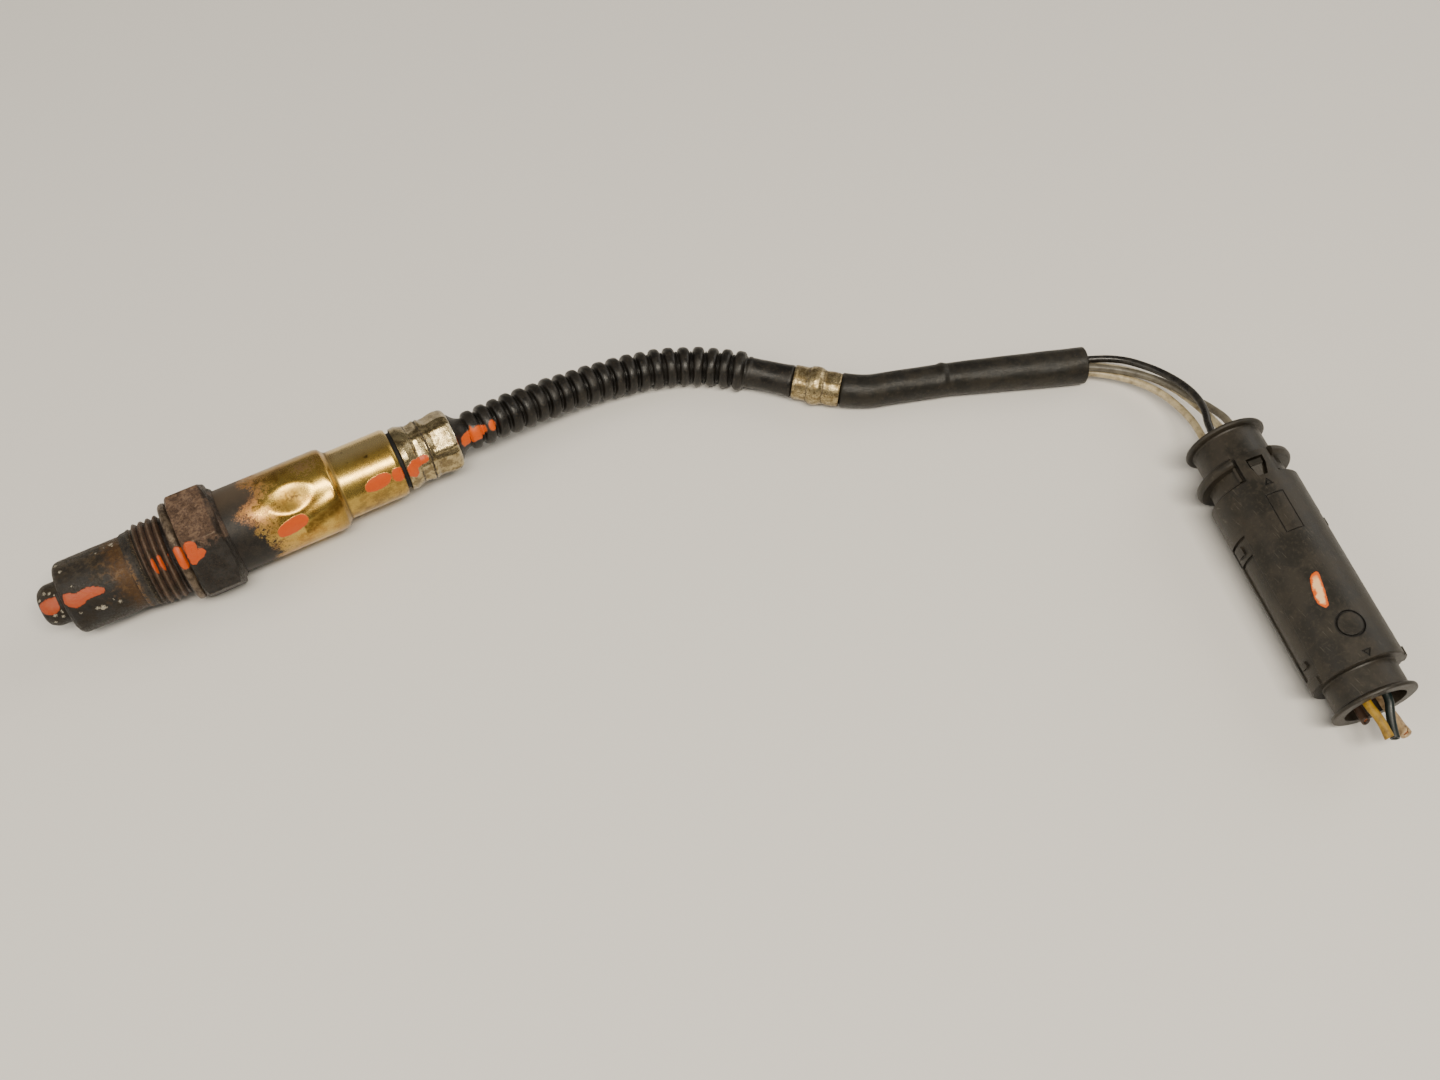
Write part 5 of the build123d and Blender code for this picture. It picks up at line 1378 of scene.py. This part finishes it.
body = lathe("sensor_sleeve", sl_rows, TH, [M_TUBE], ["protective_sleeve"], disp=sleeve_disp,
             attrs={"dab": sleeve_dab, "soot": lambda X, D, R, G: X - np.interp(D, ba, bx), "mottle": mottle_attr, "line": step_and_gap_shade_attr, "stain_and_shade": stain_and_shade_attr,
                    "fleck": lambda X, D, R, G: np.where(X < 19, spots([(4.1, 74, 0.4), (9.3, 24, 0.4), (6.0, 31, 0.35), (11.4, 75, 0.25),
                                                        (14.0, 78, 0.25), (7.9, 13, 0.25), (12.4, 29, 0.2)], 9.1)(X, D, R, G),
                                                        spots([(26.3, 9, 0.5), (25.8, 8, 0.3), (22.1, 6, 0.3), (22.0, -18.7, 0.35), (23.3, 28.8, 0.25),
                                                               (28.8, 15, 0.2), (20.6, 40, 0.2), (27.0, 74, 0.25)], 7.6)(X, D, R, G))})

# ---------------------------------------------------------------------------
# rear crimp sleeve
# ---------------------------------------------------------------------------
cr_rows = profile([(30.6, 5.76, 0, 1), (30.6, 6.3, 0, 1), (32.75, 6.3, 0.2, 0), (32.85, 6.5, 0.08, 0), (32.95, 6.95, 0.12, 0), (34.1, 7.12, 0.4, 0),
                   (35.6, 6.62, 0.4, 0), (36.4, 6.3, 0.5, 0), (37.3, 6.42, 0.5, 0), (38.2, 6.72, 0.4, 0), (39.1, 6.72, 0.3, 0), (39.6, 6.42, 0.3, 0),
                   (40.5, 6.3, 0.5, 0), (41.6, 6.55, 0.6, 0), (43.0, 6.75, 0.8, 0), (44.3, 6.62, 0.5, 0), (45.05, 6.2, 0.3, 0), (45.2, 5.8, 0.12, 0),
                   (44.95, 5.57, 0.08, 0), (44.5, 5.86, 0, 1), (42.2, 5.92, 0, 1), (41.0, 5.67, 0, 1), (40.2, 5.72, 0, 1), (39.2, 6.17, 0, 1),
                   (38.2, 6.12, 0, 1), (36.8, 5.72, 0, 1), (35.9, 5.76, 0, 1)], 0.22)


def facet(th, n, turn, apo):
    """distance to a many-sided outline"""
    seg = 2 * math.pi / n
    a = (th - turn + seg / 2) % seg - seg / 2
    return apo / np.cos(a), np.abs(np.abs(a) - seg / 2)


def smin(a, b, k):
    h = np.clip(0.5 + 0.5 * (b - a) / k, 0, 1)
    return b * (1 - h) + a * h - k * h * (1 - h)


def crimp_disp(x, r, tag, th):
    x0 = float(x[0])
    if tag:
        return x, r
    f, e = facet(th, 6, math.radians(27), r * 0.958)
    w = ss(x0, 39.4, 40.2) * (1 - ss(x0, 44.9, 45.2))
    rr = r * (1 - w) + (smin(f, r + 0.12, 0.06) - 0.13 * np.exp(-((e * 6.5 - 0.25) / 0.2) ** 2)) * w
    f2, e2 = facet(th, 6, math.radians(31), r * 0.950)
    w2 = ss(x0, 35.5, 36.2) * (1 - ss(x0, 37.9, 38.5))
    rr = rr * (1 - w2) + (smin(f2, rr + 0.08, 0.08) - 0.10 * np.exp(-((e2 * 6.5) / 0.22) ** 2)) * w2
    n = nz(x * 0.55, np.cos(th) * 3.2, np.sin(th) * 3.2, 1.0, 7.7)
    n2 = nz(x * 1.4, np.cos(th) * 8, np.sin(th) * 8, 1.0, 1.7)
    w3 = ss(x0, 34.8, 35.6) * (1 - ss(x0, 44.8, 45.2))
    n3 = nz(x * 0.2, np.cos(th) * 1.1, np.sin(th) * 1.1, 1.0, 2.2)
    # the crack-like step where two folds of the sheet meet
    stepx = 38.66 + 0.18 * np.sin(3 * th) + 0.12 * nz(np.cos(th) * 4, np.sin(th) * 4, 0.0, 1.0, 3.0)
    crack = -0.24 * np.exp(-((x - stepx) / 0.2) ** 2)
    return x, rr + (0.09 * n + 0.03 * n2) * w3 * (0.5 if x0 > 40 else 1.0) + 0.05 * n3 * w3 + crack * ss(x0, 38.0, 38.3) * (1 - ss(x0, 39.0, 39.4))


def crimp_grime_and_shade(X, D, R, G):
    th = np.radians(D)
    stepx = 38.66 + 0.18 * np.sin(3 * th)
    a = np.exp(-((X - stepx) / 0.34) ** 2) * 1.15
    _, e = facet(th, 6, math.radians(27), 6.5)
    b_ = np.exp(-(e * 6.5 / 0.28) ** 2) * ((X > 39.2) & (X < 44.7))
    c = 0.85 * np.exp(-((X - 35.9) / 0.4) ** 2) + 0.6 * np.exp(-((X - 40.2) / 0.5) ** 2)
    _, e2 = facet(th, 6, math.radians(31), 6.5)
    d = 0.9 * np.exp(-(e2 * 6.5 / 0.3) ** 2) * ((X > 35.4) & (X < 38.4))
    # painted shade: a dark band above the lower line of the rear pressing, standing in for the facet's darker
    # reflection
    g_ = 0.62 * np.exp(-((D - 47) / 7.0) ** 2) * ((X > 39.2) & (X < 44.2))
    d = np.maximum(d, g_)
    return np.where(G == 0, np.clip(np.maximum.reduce([a, b_ * 0.9, c, d]), 0, 1), 0.7)


cr_dab = [[(32.95, 55), (33.5, 49), (34.6, 44), (35.6, 44.5), (36.4, 43.5), (37.4, 42.5), (38.1, 46), (38.1, 54), (37.3, 60), (36.2, 60), (35.2, 63), (35.1, 73),
           (34.5, 77), (33.8, 75), (33.0, 70)]]
crimp = lathe("crimp_sleeve", cr_rows, TH, [M_CRIMP], ["rear_crimp_sleeve"], disp=crimp_disp,
              attrs={"dab": dab(cr_dab, 6.6), "grime": crimp_grime_and_shade,
                     "shade": lambda X, D, R, G: np.clip((32.97 - X) / 0.12, 0, 1)})

# ---------------------------------------------------------------------------
# connector: the CAD nodes themselves, with a moulded-plastic finish
# ---------------------------------------------------------------------------
C_ANG, C_ROLL = math.radians(-100.0), math.radians(8.0)
C_TILT = math.atan((10.4 - 9.65) / (58.4 - 9.3))
C_O = Vector((192.82, -78.88, 10.4 + 9.3 * math.tan(C_TILT)))
C_R = Matrix.Rotation(C_ANG, 3, "Z") @ Matrix.Rotation(C_TILT, 3, "Y") @ Matrix.Rotation(C_ROLL, 3, "X")
C_W, C_Y, C_Z = C_R.col[0].copy(), C_R.col[1].copy(), C_R.col[2].copy()


def con_local(m):
    """the connector's own coordinates in mm: along it, across it, and towards the latch"""
    out = []
    for ax in (C_W, C_Y, C_Z):
        n = m.new("ShaderNodeVectorMath", operation="DOT_PRODUCT")
        m.nt.links.new(m.mm, n.inputs[0])
        n.inputs[1].default_value = tuple(ax)
        out.append(m.math("SUBTRACT", n.outputs["Value"], float(ax.dot(C_O))))
    return out


def half_planes(m, u, v, pts):
    """distance inside a convex outline, worked out as the least of its edges"""
    best = None
    n = len(pts)
    area = sum(pts[i][0] * pts[(i + 1) % n][1] - pts[(i + 1) % n][0] * pts[i][1] for i in range(n))
    sg = 1.0 if area > 0 else -1.0
    for i in range(n):
        (x0, y0), (x1, y1) = pts[i], pts[(i + 1) % n]
        ex, ey = x1 - x0, y1 - y0
        ln = math.hypot(ex, ey)
        nx, ny = -ey / ln * sg, ex / ln * sg
        d = m.add(m.math("MULTIPLY_ADD", u, nx, -(nx * x0 + ny * y0)), m.mul(v, ny))
        best = d if best is None else m.math("SMOOTH_MIN", best, d, 0.35)
    return best


def connector_plastic(name, dab_on):
    m = Mat(name)
    w, y, z = con_local(m)
    g = m.noise(0.16, 6, 0.6)
    f = m.noise(1.3, 6, 0.65, off=(5, 5, 2))
    grain = m.noise(7.0, 3, 0.6, off=(1, 3, 7))
    col = m.mix(m.step(g, 0.42, 0.60), srgb(29, 26, 20), srgb(43, 38, 30))
    col = m.mix(m.step(f, 0.50, 0.66, 0.0, 0.4), col, srgb(60, 53, 42))
    scr = m.noise(0.8, 3, 0.5, vec=m.stretch(6.0, 0.35, 0.35))
    col = m.mix(m.mul(m.step(scr, 0.66, 0.72), 0.35), col, srgb(96, 90, 80))
    if dab_on:
        # painted shade in the moulded ring, the label field's outline and the two arrows
        top_ = m.step(z, 7.0, 8.2)
        dw = m.math("SUBTRACT", w, 50.5)
        rr = m.math("SQRT", m.add(m.mul(dw, dw), m.mul(y, y)))
        ring_ = m.step(m.math("ABSOLUTE", m.math("SUBTRACT", rr, 2.67)), 0.42, 0.22)
        bx = m.math("SUBTRACT", m.math("ABSOLUTE", m.math("SUBTRACT", w, 23.6)), 4.5)
        by = m.math("SUBTRACT", m.math("ABSOLUTE", y), 1.85)
        box_ = m.step(m.math("ABSOLUTE", m.math("MAXIMUM", bx, by)), 0.22, 0.10)
        mark_shade = m.math("MAXIMUM", ring_, m.mul(box_, 0.7))
        for w0, sg in ((15.4, 1.0), (57.9, -1.0)):
            u_ = m.mul(m.math("SUBTRACT", w, w0), sg)
            d1 = m.math("SUBTRACT", u_, 1.6)
            d2 = m.mul(m.math("SUBTRACT", m.math("ABSOLUTE", y), m.mul(u_, 0.625)), 0.848)
            tri_ = m.math("ABSOLUTE", m.add(m.math("MAXIMUM", d1, d2), 0.16))
            mark_shade = m.math("MAXIMUM", mark_shade, m.step(tri_, 0.24, 0.12))
        col = m.mix(m.mul(m.mul(mark_shade, top_), 0.82), col, srgb(14, 12, 9))
    rough = m.lerp(m.step(m.add(m.mul(g, 0.5), m.mul(f, 0.5)), 0.35, 0.65), 0.36, 0.50)
    b = m.bump(m.add(grain, m.mul(m.noise(3.0, 4, 0.6), 0.5)), 0.055, 0.6, normal=m.bevel(0.16))
    if dab_on:
        a = m.mul(m.math("ARCTAN2", y, z), 9.65)
        jig = m.noise(0.9, 4, 0.6, off=(2, 7, 7))
        a2 = m.add(a, m.mul(m.math("SUBTRACT", jig, 0.5), 0.5))
        w2 = m.add(w, m.mul(m.math("SUBTRACT", m.noise(0.9, 4, 0.6, off=(9, 7, 1)), 0.5), 0.7))
        k = math.radians(1) * 9.65
        pts = [(p[0] + 0.45, p[1] * k) for p in ((37.7, -3.8), (37.75, -11.0), (38.7, -16.2), (40.4, -19.0), (42.4, -22.2), (44.2, -21.4),
                                          (45.3, -16.4), (45.0, -9.6), (42.9, -7.4), (40.8, -3.4), (38.7, -0.4))]
        d = half_planes(m, w2, a2, pts)
        mask = m.mul(m.step(d, -0.05, 0.12), m.step(z, 5.0, 7.0))
        inner = m.step(m.add(d, m.mul(m.math("SUBTRACT", jig, 0.5), 1.6)), 0.25, 0.75)
        inner = m.mul(inner, m.step(w, 38.3, 40.0))
        paint = m.mix(m.mul(inner, 0.9), srgb(214, 92, 6), srgb(250, 204, 146))
        col = m.mix(mask, col, paint)
        rough = m.lerp(mask, rough, 0.4)
        b = m.bump(mask, 0.1, 0.8, normal=b)
    return m.set(color=col, rough=rough, normal=b, spec=0.36)


def simple(name, a, b_, rough, metal=0.0, scale=0.8, bump=0.04, soft=0.12):
    """a plain finish with a little variation, for pieces seen through gaps or not at all"""
    m = Mat(name)
    n1 = m.noise(scale, 5, 0.6)
    n2 = m.noise(scale * 6, 4, 0.6, off=(4, 1, 7))
    col = m.mix(m.step(n1, 0.36, 0.7), a, b_)
    return m.set(color=col, rough=m.lerp(m.step(n2, 0.3, 0.7), rough, min(1.0, rough + 0.15)), metal=metal,
                 normal=m.bump(n2, bump, 0.5, normal=m.bevel(soft)))


def dress(node, mat):
    ob = NODES[node]
    ob.data.materials.clear()
    ob.data.materials.append(mat)


dress("plug_housing", connector_plastic("connector_plastic_sensor_side", False))
dress("socket_housing", connector_plastic("connector_plastic_harness_side", True))
dress("sensing_element", simple("zirconia", srgb(222, 214, 200), srgb(196, 186, 170), 0.5))
dress("heater_rod", simple("heater_ceramic", srgb(226, 222, 212), srgb(190, 184, 172), 0.45))
dress("support_ceramic", simple("support_steatite", srgb(206, 196, 178), srgb(180, 168, 148), 0.6))
dress("ceramic_bush", simple("bush_steatite", srgb(214, 206, 190), srgb(188, 178, 160), 0.55))
dress("powder_packing", simple("packing_powder", srgb(150, 148, 140), srgb(118, 116, 108), 0.85, bump=0.12))
dress("packing_washer", simple("washer_steel", srgb(170, 160, 144), srgb(128, 118, 102), 0.35, 1.0))
dress("contact_holder", simple("holder_ceramic", srgb(216, 210, 198), srgb(196, 188, 172), 0.5))
dress("contact_clips", simple("clip_metal", srgb(196, 188, 172), srgb(160, 150, 132), 0.28, 1.0))
dress("holder_spring", simple("spring_steel", srgb(150, 146, 138), srgb(112, 106, 98), 0.3, 1.0))
dress("crimp_terminals", simple("crimp_metal", srgb(200, 190, 168), srgb(160, 148, 124), 0.3, 1.0))
dress("rear_grommet", simple("grommet_rubber", srgb(40, 37, 34), srgb(58, 54, 48), 0.5))
dress("plug_rear_seal", simple("seal_rubber_plug", srgb(86, 46, 34), srgb(64, 36, 30), 0.45))
dress("socket_rear_seal", simple("seal_rubber_socket", srgb(86, 46, 34), srgb(64, 36, 30), 0.45))
dress("interface_seal", simple("seal_rubber_face", srgb(92, 48, 34), srgb(70, 38, 30), 0.4))
dress("plug_pins", simple("pin_brass", srgb(206, 186, 134), srgb(176, 152, 102), 0.26, 1.0))
dress("socket_terminals", simple("terminal_brass", srgb(206, 186, 134), srgb(176, 152, 102), 0.28, 1.0))
dress("terminal_lock", simple("lock_plastic", srgb(128, 58, 44), srgb(108, 48, 38), 0.42))

# ---------------------------------------------------------------------------
# floor and light
# ---------------------------------------------------------------------------
me = bpy.data.meshes.new("floor")
F_ = 3.0
me.from_pydata([(-F_, -F_, 0), (F_, -F_, 0), (F_, F_, 0), (-F_, F_, 0)], [], [(0, 1, 2, 3)])
floor = bpy.data.objects.new("floor", me)
bpy.context.scene.collection.objects.link(floor)
fm = bpy.data.materials.new("floor_pale")
fm.use_nodes = True
fb = fm.node_tree.nodes["Principled BSDF"]
fb.inputs["Base Color"].default_value = srgb(222, 219, 214)
fb.inputs["Roughness"].default_value = 0.8
me.materials.append(fm)


def area(name, loc, target, size, power, color=(1, 1, 1), size_y=None):
    ld = bpy.data.lights.new(name, "AREA")
    ld.energy = power
    ld.color = color
    ld.shape = "RECTANGLE"
    ld.size = size
    ld.size_y = size_y or size
    ob = bpy.data.objects.new(name, ld)
    bpy.context.scene.collection.objects.link(ob)
    ob.location = loc
    d = Vector(target) - Vector(loc)
    ob.rotation_euler = d.to_track_quat("-Z", "Y").to_euler()
    return ob


mid = (0.085, -0.045, 0.0)
area("key_light", (0.02, -0.36, 0.74), mid, 0.56, 8.0, (1.0, 0.92, 0.78), 0.15)
area("left_light", (-0.85, 0.05, 0.62), mid, 0.7, 4.0, (1.0, 0.94, 0.84))
area("right_light", (1.00, 0.10, 0.58), mid, 0.7, 3.4, (1.0, 0.95, 0.87))
world = bpy.data.worlds.new("studio")
bpy.context.scene.world = world
world.use_nodes = True
bg = world.node_tree.nodes["Background"]
bg.inputs["Color"].default_value = (0.95, 0.92, 0.86, 1.0)
bg.inputs["Strength"].default_value = 0.22

# ---------------------------------------------------------------------------
# final update of the scene
# ---------------------------------------------------------------------------
bpy.context.view_layer.update()
